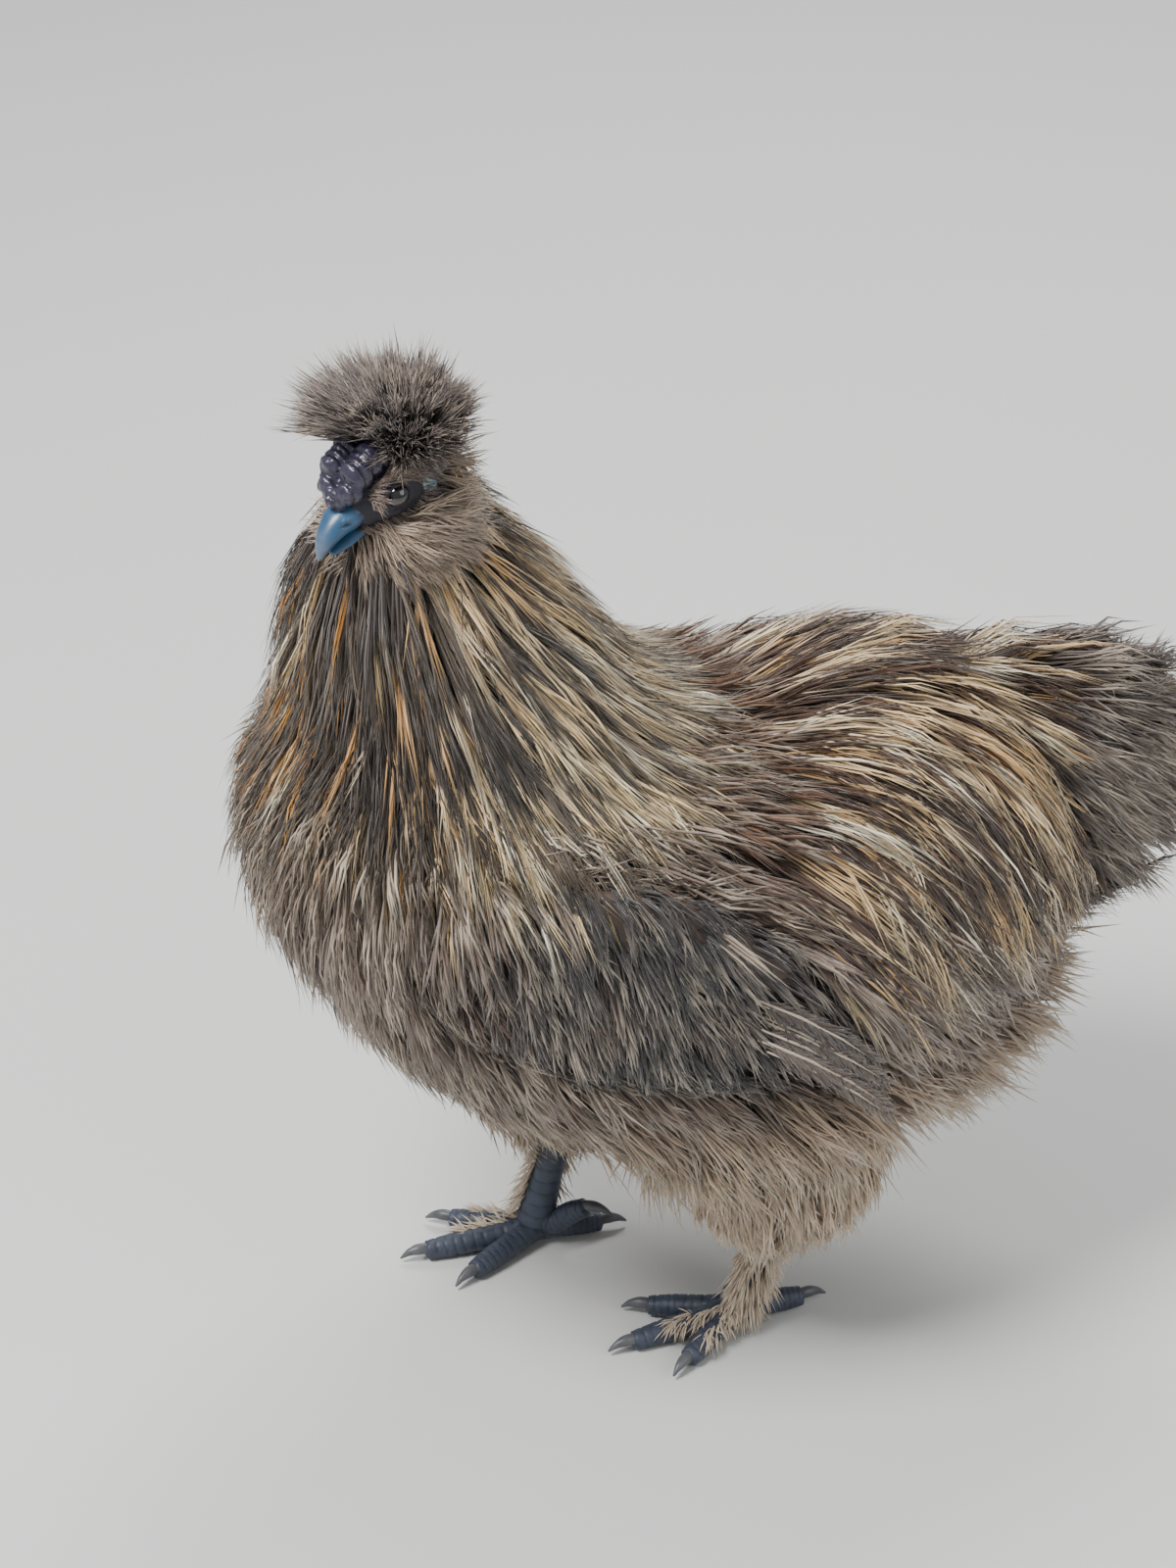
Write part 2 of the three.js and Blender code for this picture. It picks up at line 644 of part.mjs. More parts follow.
const group = new THREE.Group();
const cutters = [];
for (const { name, core, feathers, color, roughness, cutter, trim } of nodes) {
  let made = feathers.length ? wasm.Manifold.union([core, ...feathers.map(({ piece }) => piece)]) : core;
  if (trim !== null) made = made.trimByPlane([0, 0, 1], trim);
  for (const piece of cutters) {
    if (near(made.boundingBox(), piece.boundingBox())) made = made.subtract(piece);
  }
  cutters.push(cutter, ...feathers.map((each) => each.cutter));
  const mesh = largest(made.simplify(0.02)).getMesh();
  const geometry = new THREE.BufferGeometry();
  geometry.setAttribute("position", new THREE.BufferAttribute(new Float32Array(mesh.vertProperties), 3));
  geometry.setIndex(new THREE.BufferAttribute(new Uint32Array(mesh.triVerts), 1));
  const material = new THREE.MeshStandardMaterial({ color, roughness, metalness: 0 });
  const part = new THREE.Mesh(geometry, material);
  part.name = name;
  group.add(part);
}
// The origin is on the floor under the middle of the bird's box.
const middle = new THREE.Box3().setFromObject(group).getCenter(v3(0, 0, 0));
group.position.set(-middle.x, -middle.y, 0);

export default group;
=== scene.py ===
# A standing silkie cockerel as a museum model: skin, head, feet, feathers and a plain studio stage.
import math

import bmesh
import bpy
import numpy as np
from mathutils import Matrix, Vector, noise
from mathutils.bvhtree import BVHTree
from mathutils.kdtree import KDTree


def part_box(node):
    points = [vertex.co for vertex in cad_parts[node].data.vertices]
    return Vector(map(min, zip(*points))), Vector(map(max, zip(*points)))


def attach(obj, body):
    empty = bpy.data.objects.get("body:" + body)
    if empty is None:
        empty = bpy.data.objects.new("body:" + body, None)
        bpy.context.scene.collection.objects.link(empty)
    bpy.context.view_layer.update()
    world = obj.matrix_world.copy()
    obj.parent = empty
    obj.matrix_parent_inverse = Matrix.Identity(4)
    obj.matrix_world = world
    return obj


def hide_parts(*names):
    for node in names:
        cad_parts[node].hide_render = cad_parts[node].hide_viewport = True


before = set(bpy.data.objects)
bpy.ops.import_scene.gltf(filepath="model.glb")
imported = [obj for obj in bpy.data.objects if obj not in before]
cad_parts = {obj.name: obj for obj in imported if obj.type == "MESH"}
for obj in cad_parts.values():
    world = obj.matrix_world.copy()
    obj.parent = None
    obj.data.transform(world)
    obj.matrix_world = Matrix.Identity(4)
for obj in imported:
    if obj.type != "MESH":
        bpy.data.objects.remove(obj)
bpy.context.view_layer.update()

bl_info = {
    "name": "Silkie cockerel",
    "version": (1, 0, 0),
    "blender": (4, 5, 0),
    "location": "View3D > Sidebar > Silkie",
    "description": "Builds the skin, head, feet and plumage of a life-size silkie cockerel",
    "category": "Add Mesh",
}

MM = 0.001
STRAND = 1.5 * MM  # usual width of a body strand
BODY = "root"
DOWN = np.array([0.0, 0.0, -1.0])
SIDES = {"left": 1, "right": -1}
PATCH = 0.003  # size of one feather's patch in the unwrap
BAKE_MAP = "OFBake"
SEED = 11
SHARES = np.array([0, 1 / 3, 2 / 3, 1])[None, :, None]  # the four places along each strand

# Driving sizes of the bird, in millimetres, in its own axes: -Y forward, +X its left, +Z up
COAT = 18
NECK_COAT = 13
TAIL_COAT = 34
CREST_COAT = 5
THIGH_COAT = 12
WING_COAT = 4
HEAD_CENTRE = np.array([24.0, -90.0, 364.0])
HEAD_YAW = math.radians(27)
HEAD_PITCH = math.radians(12)
EYE_RADIUS = 4.4
EYE_BARE = 7.4  # how far the feathers stay from the middle of the eye
LOBE_RADII = (3.6, 4.8, 2.0)
BREAST_END = -36  # the breast's feathers grow in front of this, the body's behind it
HEAD_START = 340  # height above which the head's own skin begins
HEAD_DARK = 350  # height from which that skin is fully dark
FOOT = {"left": np.array([38.0, 33.0, 0.0]), "right": np.array([-36.0, -21.0, 0.0])}
SHANK_RADIUS = 5.4
TOE_RADIUS = 4.4
SOLE = 0.0002  # how far the soles stay over the floor, in metres
# name, turn in degrees, length, height of its root, rise of its tip
TOES = [
    ("inner", -28, 33, 7, 0),
    ("middle", 4, 42, 7, 0),
    ("outer", 36, 33, 7, 0),
    ("hind", -176, 26, 7, 0),
    ("fifth", -146, 20, 13, 15),
]


# Vectors and forms


def unit(v):
    return v / np.maximum(np.linalg.norm(v, axis=-1, keepdims=True), 1e-9)


def turn_z(angle):
    c, s = math.cos(angle), math.sin(angle)
    return np.array([[c, -s, 0], [s, c, 0], [0, 0, 1]])


def turn_y(angle):
    c, s = math.cos(angle), math.sin(angle)
    return np.array([[c, 0, s], [0, 1, 0], [-s, 0, c]])


HEAD_TURN = turn_z(HEAD_YAW - math.pi / 2) @ turn_y(HEAD_PITCH)


def in_head(points):
    """Head coordinates (forward, left, up) to the bird's axes."""
    return HEAD_CENTRE + np.asarray(points, float) @ HEAD_TURN.T


def head_way(ways):
    return np.asarray(ways, float) @ HEAD_TURN.T


def to_head(points):
    return (np.asarray(points, float) - HEAD_CENTRE) @ HEAD_TURN


def eye_centre(side):
    return in_head([8, side * 11.4, 1.5])


def eye_way(side):
    """The way an eye looks out: aside, a little forward and up."""
    return unit(head_way([0.22, side, 0.12]))


def lobe_centre(side):
    return in_head([-3.5, side * 14.4, 0.5])


def bird_shift():
    """Where the bird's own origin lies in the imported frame, in metres, from the left eye's place."""
    low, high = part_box("eye_left")
    return np.array((low + high) / 2) - eye_centre(1) * MM


SHIFT = bird_shift()


def place(points):
    return np.asarray(points, float) * MM + SHIFT


class Curve:
    """A smooth curve through points: a centripetal Catmull-Rom spline over 0 to 1."""

    def __init__(self, points):
        p = np.asarray(points, float)
        p = np.vstack([2 * p[0] - p[1], p, 2 * p[-1] - p[-2]])
        gap = np.maximum(np.linalg.norm(np.diff(p, axis=0), axis=1) ** 0.5, 1e-4)[:, None]
        before, here, after = gap[:-2], gap[1:-1], gap[2:]
        p0, p1, p2, p3 = p[:-3], p[1:-2], p[2:-1], p[3:]
        start = ((p1 - p0) / before - (p2 - p0) / (before + here) + (p2 - p1) / here) * here
        end = ((p2 - p1) / here - (p3 - p1) / (here + after) + (p3 - p2) / after) * here
        self.parts = [p1, start, 3 * (p2 - p1) - 2 * start - end, 2 * (p1 - p2) + start + end]

    def at(self, t):
        x = np.clip(np.asarray(t, float), 0, 1) * len(self.parts[0])
        i = np.minimum(x.astype(int), len(self.parts[0]) - 1)
        w = (x - i)[..., None]
        a, b, c, d = (part[i] for part in self.parts)
        return a + w * (b + w * (c + w * d))


class Limb:
    """A rounded form with oval sections along a curve. Stations are (point, half width, half height)."""

    def __init__(self, stations, sideways=(1, 0, 0)):
        self.path = Curve([s[0] for s in stations])
        self.size = Curve([[s[1], s[2], 0] for s in stations])
        self.sideways = np.asarray(sideways, float)

    def frame(self, t):
        step = 1e-3
        along = unit(self.path.at(np.clip(t + step, 0, 1)) - self.path.at(np.clip(t - step, 0, 1)))
        across = unit(self.sideways - along * (along @ self.sideways)[..., None])
        return self.path.at(t), along, across, np.cross(across, along)

    def point(self, t, a, depth=0):
        t, a = np.broadcast_arrays(np.asarray(t, float), np.asarray(a, float))
        centre, _, across, over = self.frame(t)
        size = self.size.at(t)
        half = [np.maximum(size[..., k] - depth, 0.35 * size[..., k]) for k in (0, 1)]
        return centre + across * (half[0] * np.sin(a))[..., None] + over * (half[1] * np.cos(a))[..., None]

    def normal(self, t, a):
        """The way the form's surface faces."""
        step = 0.01
        along = unit(self.point(np.minimum(t + step, 1), a) - self.point(np.maximum(t - step, 0), a))
        normal = unit(np.cross(unit(self.point(t, a + step) - self.point(t, a - step)), along))
        out = self.point(t, a) - self.path.at(t)
        return normal * np.where(np.sum(normal * out, -1) < 0, -1, 1)[..., None]

    def grid(self, sides, steps, depth, bulge):
        """Vertices and faces of the closed form."""
        t = np.linspace(0, 1, steps + 1)[:, None]
        a = np.linspace(0, 2 * math.pi, sides, endpoint=False)[None, :]
        rings = self.point(t, a, depth).reshape(-1, 3)
        ends = []
        for end, sign in ((0.0, -1), (1.0, 1)):
            centre, along, _, _ = self.frame(np.array([end]))
            half = self.size.at(np.array([end]))[0, 1]
            ends.append(centre[0] + along[0] * sign * bulge * max(0.35 * half, half - depth))
        return np.vstack([rings, ends]), capped(steps + 1, sides)


def ring_quads(rows, sides):
    """Faces between rows of corners that go round a form, numbered row by row."""
    return [
        (i * sides + j, (i + 1) * sides + j, (i + 1) * sides + (j + 1) % sides, i * sides + (j + 1) % sides)
        for i in range(rows - 1) for j in range(sides)
    ]


def capped(rows, sides):
    """Those faces and a fan at each end, round the two corners that follow the last row."""
    low, high, last = rows * sides, rows * sides + 1, (rows - 1) * sides
    turns = [(j, (j + 1) % sides) for j in range(sides)]
    ends = [fan for j, k in turns for fan in ((low, j, k), (high, last + k, last + j))]
    return ring_quads(rows, sides) + ends


def head_limb(stations):
    return Limb([(in_head([x, 0, z]), w, h) for x, z, w, h in stations], head_way([0, 1, 0]))


# y, top, underside, half width, over the feathers
BODY_SECTIONS = [
    (-112, 266, 232, 30),
    (-106, 286, 202, 58),
    (-88, 296, 160, 84),
    (-52, 296, 116, 99),
    (-6, 274, 82, 107),
    (38, 262, 68, 107),
    (78, 268, 72, 99),
    (110, 272, 92, 84),
    (138, 266, 118, 62),
    (152, 248, 148, 36),
]
BODY_FORM = Limb([
    ((0, y, (top + under) / 2), half, (top - under) / 2) for y, top, under, half in BODY_SECTIONS
])
NECK_FORM = Limb([
    ((-2, -54, 240), 82, 72),
    ((1, -68, 284), 66, 56),
    ((10, -80, 318), 44, 41),
    ((18, -88, 344), 29, 28),
    ((21, -87, 362), 21, 20),
])
# forward, up, half width, half height
SKULL_FORM = head_limb([
    (-20, 0, 8, 8), (-12, 1, 14, 15), (0, 0, 15.5, 16), (12, -1, 11.5, 12), (20, -3, 6.5, 7.5),
])
CREST_FORM = head_limb([(-20, 6, 9, 8), (-13, 12, 18, 13), (-3, 15, 19, 13), (6, 17, 12, 9)])
BEARD_FORM = head_limb([(-12, -9, 12, 8), (-4, -13, 18, 9), (6, -15, 15, 8), (13, -16, 7, 5)])
UPPER_BEAK_FORM = head_limb([
    (17, -1.5, 7.2, 5.8), (21, -2.4, 6.7, 5.4), (26, -3.5, 5.4, 4.6), (32, -7, 3.4, 3),
    (35.5, -11.5, 1.1, 1.1),
])
LOWER_BEAK_FORM = head_limb([
    (16, -9, 5.8, 2.9), (18, -9.3, 5.6, 2.8), (25, -11, 4.2, 2.2), (30, -12.6, 1.6, 1.1),
])
TAIL_FORM = Limb([
    ((0, 112, 204), 50, 62), ((0, 148, 199), 55, 76), ((0, 184, 196), 42, 62), ((0, 206, 194), 18, 34),
])
# The highest and the lowest quill of the left folded wing, at their roots and tips
QUILLS = 11
TAIL_VANES = 46
BOOT_TUFTS = 190  # on a shank
TOE_TUFTS = 34  # on each feathered toe
BOOT_STRANDS = 6  # in each of those tufts
BOOT_CLEARANCE = 0.8  # over the floor
QUILL_ROOTS = np.array([[99.0, 12, 188], [99, 15, 161]])
QUILL_TIPS = np.array([[98.0, 58, 150], [98, 63, 123]])
# forward, left, up and radius of the comb's lumps, in head coordinates
COMB_BULBS = [
    (11, -4.6, 14, 6), (10.5, 4.8, 14.5, 6), (16.5, -4.8, 12.4, 5.6), (16.5, 4.6, 12.6, 5.8),
    (20.5, -4.2, 8, 4.8), (20.5, 4.2, 8, 4.8), (23.2, 0, 5.2, 4.6),
]


# aside, back, up, half width, half height: the wing from the body's middle, the others from the foot
WING = [
    (66, -92, 208, 10, 20), (79, -70, 204, 11, 33), (89, -30, 194, 11, 38),
    (92, 6, 178, 10, 33), (89, 34, 158, 7, 20), (85, 50, 144, 4, 8),
]
THIGH = [(15, 10, 124, 32, 40), (15, 10, 94, 36, 46), (11, 12, 68, 30, 38), (6, 14, 50, 17, 22)]
SHANK = [(5, 22, 88, 8, 9), (4, 18, 70, 7, 8), (2, 8, 36, SHANK_RADIUS, SHANK_RADIUS), (0, 0, 9, 6.6, 7)]


def side_limb(stations, side, start=(0, 0, 0)):
    return Limb([(np.add(start, (side * x, y, z)), w, h) for x, y, z, w, h in stations])


# Meshes


def mesh_object(name, points, faces):
    """A mesh object from points in the bird's millimetres."""
    mesh = bpy.data.meshes.new(name)
    mesh.from_pydata(place(points).tolist(), [], [tuple(f) for f in faces])
    mesh.validate()
    mesh.polygons.foreach_set("use_smooth", [True] * len(mesh.polygons))
    made = bpy.data.objects.new(name, mesh)
    bpy.context.scene.collection.objects.link(made)
    return made


def limb_object(name, form, sides, steps, depth=0, bulge=0.3):
    """A closed mesh of a form, with its faces turned outward."""
    made = mesh_object(name, *form.grid(sides, steps, depth, bulge))
    work = bmesh.new()
    work.from_mesh(made.data)
    bmesh.ops.recalc_face_normals(work, faces=work.faces)
    work.to_mesh(made.data)
    work.free()
    return made


def vectors(items, key):
    out = np.empty(len(items) * 3, np.float32)
    items.foreach_get(key, out)
    return out.reshape(-1, 3).astype(float)


def points_of(made):
    """The vertices of an object in the bird's millimetres."""
    return (vectors(made.data.vertices, "co") - SHIFT) / MM


def set_points(made, points):
    made.data.vertices.foreach_set("co", place(points).astype(np.float32).ravel())
    made.data.update()


def raise_skin(made, height):
    """Moves each vertex along its normal by its own height in millimetres."""
    normals = vectors(made.data.vertex_normals, "vector")
    set_points(made, points_of(made) + normals * height[:, None])


def remeshed(made, voxel, smooth=2):
    """A voxel remesh and a light smoothing, for lumpy flesh, baked into the mesh."""
    remesh = made.modifiers.new("remesh", "REMESH")
    remesh.mode = "VOXEL"
    remesh.voxel_size = voxel * MM
    remesh.use_smooth_shade = True
    soften = made.modifiers.new("soften", "SMOOTH")
    soften.factor = 0.5
    soften.iterations = smooth
    bpy.context.view_layer.update()
    final = bpy.data.meshes.new_from_object(made.evaluated_get(bpy.context.evaluated_depsgraph_get()))
    made.modifiers.clear()
    made.data = final
    return made


def paint(mesh, tones):
    """A colour for every vertex, as the attribute that the materials read."""
    layer = mesh.attributes.new("tint", "FLOAT_COLOR", "POINT")
    rgba = np.ones((len(mesh.vertices), 4), np.float32)
    rgba[:, :3] = np.clip(tones, 0, 1)
    layer.data.foreach_set("color", rgba.ravel())


def select_only(chosen):
    for other in bpy.context.selected_objects:
        other.select_set(False)
    for made in chosen:
        made.select_set(True)
    bpy.context.view_layer.objects.active = chosen[0]


def unwrap(made):
    """An unwrap of the mesh's own shape, in the bake map."""
    made.data.uv_layers.new(name=BAKE_MAP)
    select_only([made])
    bpy.ops.object.mode_set(mode="EDIT")
    bpy.ops.mesh.select_all(action="SELECT")
    bpy.ops.uv.smart_project(angle_limit=math.radians(66), island_margin=0.002)
    bpy.ops.object.mode_set(mode="OBJECT")
    made.select_set(False)


# Colours of the plumage


def linear(text):
    """A six-figure colour as linear red, green and blue."""
    values = [int(text[i : i + 2], 16) / 255 for i in (0, 2, 4)]
    return np.array([v / 12.92 if v < 0.04045 else ((v + 0.055) / 1.055) ** 2.4 for v in values])


def colour_property(label, text, description):
    return bpy.props.FloatVectorProperty(
        name=label, description=description, default=linear(text).tolist(),
        size=3, subtype="COLOR", min=0, max=1,
    )


class SilkieColours(bpy.types.PropertyGroup):
    """The colours of the plumage, skin and horn."""

    straw: colour_property("Straw", "dec394", "Pale edges of the hackles")
    cream: colour_property("Cream", "f1e6cd", "Palest strands of the hackles and saddle")
    gold: colour_property("Gold", "c98a35", "Orange-gold strands of the neck and saddle")
    umber: colour_property("Umber", "33261f", "Dark centres of the feathers")
    breast: colour_property("Breast", "7a675b", "Grey-brown of the breast")
    belly: colour_property("Belly", "bca48a", "Pale grey-tan of the belly and thighs")
    saddle: colour_property("Saddle", "634229", "Brown of the back and saddle")
    wing: colour_property("Wing", "332b28", "Brown-black of the wings")
    tail: colour_property("Tail", "62554c", "Grey-brown of the tail vanes")
    tips: colour_property("Tips", "d6c5ae", "Pale ends of frayed feathers")
    crest: colour_property("Crest", "4c413c", "Grey-brown of the crest and face")
    face_skin: colour_property("Face skin", "1b1a24", "Dark mulberry skin of the face")
    comb: colour_property("Comb", "332e42", "Dark mulberry of the comb")
    beak: colour_property("Beak", "294d6b", "Lead blue of the beak")
    lobe: colour_property("Ear lobe", "7d97a0", "Pale blue-grey of the ear lobes")
    shank: colour_property("Shank", "3b4250", "Slate of the shanks and toes")
    claw: colour_property("Claw", "55565a", "Grey horn of the claws")


class SilkieSizes(bpy.types.PropertyGroup):
    """The sizes that set how the plumage looks."""

    strand: bpy.props.FloatProperty(
        name="Strand width", description="Width of one body strand",
        default=STRAND, unit="LENGTH", subtype="DISTANCE",
    )
    fullness: bpy.props.FloatProperty(
        name="Fullness", description="Share of the usual number of strands",
        default=1.0, min=0.1, max=1.2, subtype="FACTOR",
    )
    floor_size: bpy.props.FloatProperty(
        name="Floor size", description="Side of the studio floor",
        default=60.0, unit="LENGTH", subtype="DISTANCE",
    )


def colours():
    group = bpy.context.scene.silkie_colours
    return {name: np.array(getattr(group, name)) for name in SilkieColours.__annotations__}


def sizes():
    return bpy.context.scene.silkie_sizes


def mixed(a, b, share):
    """From a to b by a share, or by a share for each row."""
    share = np.asarray(share, float)[..., None]
    return a * (1 - share) + b * share


def ramp(value, low, high):
    """0 below low, 1 above high and smooth between them."""
    x = np.clip((np.asarray(value, float) - low) / (high - low), 0, 1)
    return x * x * (3 - 2 * x)


def wander(points, scale, seed):
    """Smooth noise from -1 to 1 over the bird, with features about `scale` millimetres across."""
    offset = Vector((seed, 1.7 * seed, -seed))
    return np.array([noise.noise(Vector(p / scale) + offset) for p in points])


def front_of(points):
    """1 on the front of the neck and breast, a little to the bird's right, and 0 behind it."""
    return ramp(-(0.342 * points[:, 0] + 0.94 * points[:, 1]), 50, 88)


def markings(points):
    """The plumage's colour at places on the bird, in its own millimetres."""
    c = colours()
    _, y, z = points.T
    patch = 0.5 + 0.5 * wander(points, 26, 3)
    body = mixed(c["breast"], c["saddle"], ramp(z + 0.25 * y, 190, 235) * ramp(y, -40, 10))
    body = mixed(body, c["belly"], ramp(150 - z, 0, 60) * (0.55 + 0.45 * patch))
    neck = ramp(z, 225, 262) * ramp(-y, 5, 40)
    body = mixed(body, mixed(c["umber"], c["straw"], 0.3), 0.7 * neck)
    throat = ramp(34 - np.linalg.norm(points - [48, -96, 306], axis=1), -16, 16)
    body = mixed(body, c["umber"], 0.8 * throat)
    body = mixed(body, c["tail"], 0.8 * ramp(y, 135, 175))
    return mixed(body, c["crest"], ramp(z, 345, 358))


# Shaders


class Value:
    """A shader socket that takes part in Python arithmetic."""

    def __init__(self, shader, socket):
        self.shader, self.socket = shader, socket

    def math(self, operation, first, second):
        return self.shader.node("ShaderNodeMath", {"operation": operation}, {0: first, 1: second})

    def __add__(self, other):
        return self.math("ADD", self, other)

    def __mul__(self, other):
        return self.math("MULTIPLY", self, other)

    __radd__ = __add__
    __rmul__ = __mul__


class Shader:
    """A material around one Principled shader."""

    def __init__(self, name, **numbers):
        self.material = bpy.data.materials.new(name)
        self.material.use_nodes = True
        self.tree = self.material.node_tree
        self.main = self.tree.nodes["Principled BSDF"]
        for socket, value in numbers.items():
            self.main.inputs[socket.replace("_", " ")].default_value = value

    def feed(self, socket, value):
        if isinstance(value, Value):
            self.tree.links.new(value.socket, socket)
        else:
            socket.default_value = value

    def node(self, kind, settings=None, inputs=None, output=0):
        made = self.tree.nodes.new(kind)
        for key, value in (settings or {}).items():
            setattr(made, key, value)
        for key, value in (inputs or {}).items():
            self.feed(made.inputs[key], value)
        return Value(self, made.outputs[output])

    def put(self, **sockets):
        for name, value in sockets.items():
            self.feed(self.main.inputs[name.replace("_", " ")], value)

    def noise(self, scale, detail=3):
        place = self.node("ShaderNodeTexCoord", output="Object")
        return self.node("ShaderNodeTexNoise", {}, {"Vector": place, "Scale": scale, "Detail": detail}, "Fac")

    def tint(self):
        return self.node("ShaderNodeAttribute", {"attribute_name": "tint"}, output="Color")

    def shaded(self, colour, amount):
        """A colour made lighter and darker by a number around 1."""
        return self.node("ShaderNodeVectorMath", {"operation": "SCALE"}, {0: colour, "Scale": amount})

    def bump(self, height, strength, distance):
        numbers = {"Height": height, "Strength": strength, "Distance": distance * MM}
        return self.node("ShaderNodeBump", {}, numbers, "Normal")


def tinted_material(name, grain, depth, bump, **numbers):
    """A material that takes the painted colour, with fine mottling and a little relief."""
    shader = Shader(name, **numbers)
    grain_value = shader.noise(grain)
    shader.put(
        Base_Color=shader.shaded(shader.tint(), grain_value * depth + (1 - 0.5 * depth)),
        Normal=shader.bump(grain_value, bump, 0.4),
    )
    return shader.material


def dress(made, material, nodes=()):
    """Gives a piece its material and its place in the frame."""
    if not made.data.polygons:
        raise RuntimeError(made.name + " came out empty")
    made.data.materials.clear()
    made.data.materials.append(material)
    if nodes:
        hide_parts(*nodes)
    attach(made, BODY)


def ball(name, centre, radii, turn, sides=32):
    """An ellipsoid with its radii along the columns of turn."""
    lat = np.linspace(0, math.pi, sides // 2 + 1)[1:-1]
    lon = np.linspace(0, 2 * math.pi, sides, endpoint=False)
    rings = [[math.sin(p) * math.cos(q), math.sin(p) * math.sin(q), math.cos(p)] for p in lat for q in lon]
    points = np.array(rings + [[0, 0, 1], [0, 0, -1]]) * radii
    return mesh_object(name, centre + points @ turn.T, capped(len(lat), sides))


def facing(way, up=(0, 0, 1)):
    """Axes with the third column along a direction."""
    third = unit(np.asarray(way, float))
    first = unit(np.cross(up, third))
    return np.column_stack([first, np.cross(third, first), third])


def ring(name, centre, turn, radius, tube, stretch, steps=40, sides=12):
    """A closed ring lying across the third column of turn."""
    points = []
    for p in [2 * math.pi * i / steps for i in range(steps)]:
        for q in [2 * math.pi * j / sides for j in range(sides)]:
            far = radius + tube * math.cos(q)
            points.append([far * math.cos(p), far * math.sin(p), tube * math.sin(q)])
    faces = np.array(ring_quads(steps + 1, sides)) % len(points)
    return mesh_object(name, centre + (np.array(points) * [*stretch, 1]) @ turn.T, faces.tolist())


def joined(name, pieces):
    """One object from several, left as they are."""
    select_only(pieces)
    if len(pieces) > 1:
        bpy.ops.object.join()
    pieces[0].select_set(False)
    pieces[0].name = name
    pieces[0].data.name = name
    return pieces[0]


# Where each kind of feather grows


def coat_forms():
    """Zone, form, depth of the skin under the feathers, sides and steps of its mesh, lie of the feathers."""
    out = [
        ("body", BODY_FORM, COAT, (48, 60), body_lie),
        ("neck", NECK_FORM, NECK_COAT, (40, 40), neck_lie),
        ("tail", TAIL_FORM, TAIL_COAT, (40, 30), tail_lie),
        ("skull", SKULL_FORM, 0, (48, 40), beard_lie),
        ("crest", CREST_FORM, CREST_COAT, (40, 30), crest_lie),
        ("beard", BEARD_FORM, 0, (40, 30), beard_lie),
    ]
    for name, side in SIDES.items():
        out.append(("wing_" + name, side_limb(WING, side), WING_COAT, (32, 50), wing_lie))
        out.append(("thigh_" + name, side_limb(THIGH, side, FOOT[name]), THIGH_COAT, (36, 40), thigh_lie))
    return out


def body_lie(p, n, along):
    front = np.clip((-30 - p[:, 1]) / 80, 0, 1)
    upper = ramp(p[:, 2], 190, 225) * ramp(p[:, 1], 0, 60)
    lie = np.column_stack([0 * front, 0.9 - 0.6 * front, -0.2 - 0.9 * front - 0.8 * np.abs(n[:, 0])])
    saddle = np.column_stack([0.8 * n[:, 0], 0.6 + 0 * front, -0.3 - 1.0 * np.abs(n[:, 0])])
    return lie * (1 - upper[:, None]) + saddle * upper[:, None]


def neck_lie(p, n, along):
    return -along + 0.5 * DOWN + np.array([0, 0.25, 0])


def tail_lie(p, n, along):
    return np.array([0, 0.8, -0.62]) + 0.22 * n


def crest_lie(p, n, along):
    return unit(p - in_head([-7, 0, 5])) + head_way([0.2, 0, 0.2])


def beard_lie(p, n, along):
    return head_way([-0.75, 0, -0.45]) + 0.45 * n


def wing_lie(p, n, along):
    rear = ramp(p[:, 1], -40, 40)[:, None]
    return along * (0.3 + 0.9 * rear) + DOWN * (1 - 0.6 * rear)


def thigh_lie(p, n, along):
    return along + np.array([0, 0.15, 0])


def search_tree(rows):
    tree = KDTree(len(rows))
    for i, row in enumerate(rows):
        tree.insert(row, i)
    tree.balance()
    return tree


def nearest_rows(tree, points):
    return np.array([tree.find(p)[1] for p in points])


def zone_of(points, normals):
    """The zone and the lie of the feathers at places on the skin."""
    forms = coat_forms()
    t, a = np.meshgrid(np.linspace(0, 1, 50), np.linspace(0, 2 * math.pi, 40, endpoint=False))
    t, a = t.ravel(), a.ravel()
    rows = np.vstack([form.point(t, a, depth) for _, form, depth, _, _ in forms])
    ways = np.vstack([form.frame(t)[1] for _, form, _, _, _ in forms])
    nearest = nearest_rows(search_tree(rows), points)
    owner = nearest // len(t)
    lies = np.zeros_like(points)
    names = np.empty(len(points), object)
    for index, (name, _, _, _, lie) in enumerate(forms):
        here = owner == index
        if here.any():
            lies[here] = lie(points[here], normals[here], ways[nearest[here]])
            names[here] = name
    _, y, z = points.T
    trunk = (names == "body") | ((names == "neck") & (z < 230))
    local = to_head(points)
    names[(names == "crest") & (local[:, 2] < 11)] = "skull"
    names[(names == "skull") & ((local[:, 0] < -7) | (local[:, 2] < -8))] = "beard"
    nape = (names == "beard") & (local[:, 0] < -9) & (local[:, 2] < 9)
    names[nape] = "neck"
    lies[nape] = head_way([-0.5, 0, -1])
    names[(names == "tail") & (y < 156) & (z > 185)] = "saddle"
    names[trunk] = "torso"
    names[trunk & (y < BREAST_END)] = "breast"
    names[trunk & (y > 20) & (z > 196)] = "saddle"
    names[trunk & (z < 140) & (y > BREAST_END)] = "belly"
    return names, unit(lies)


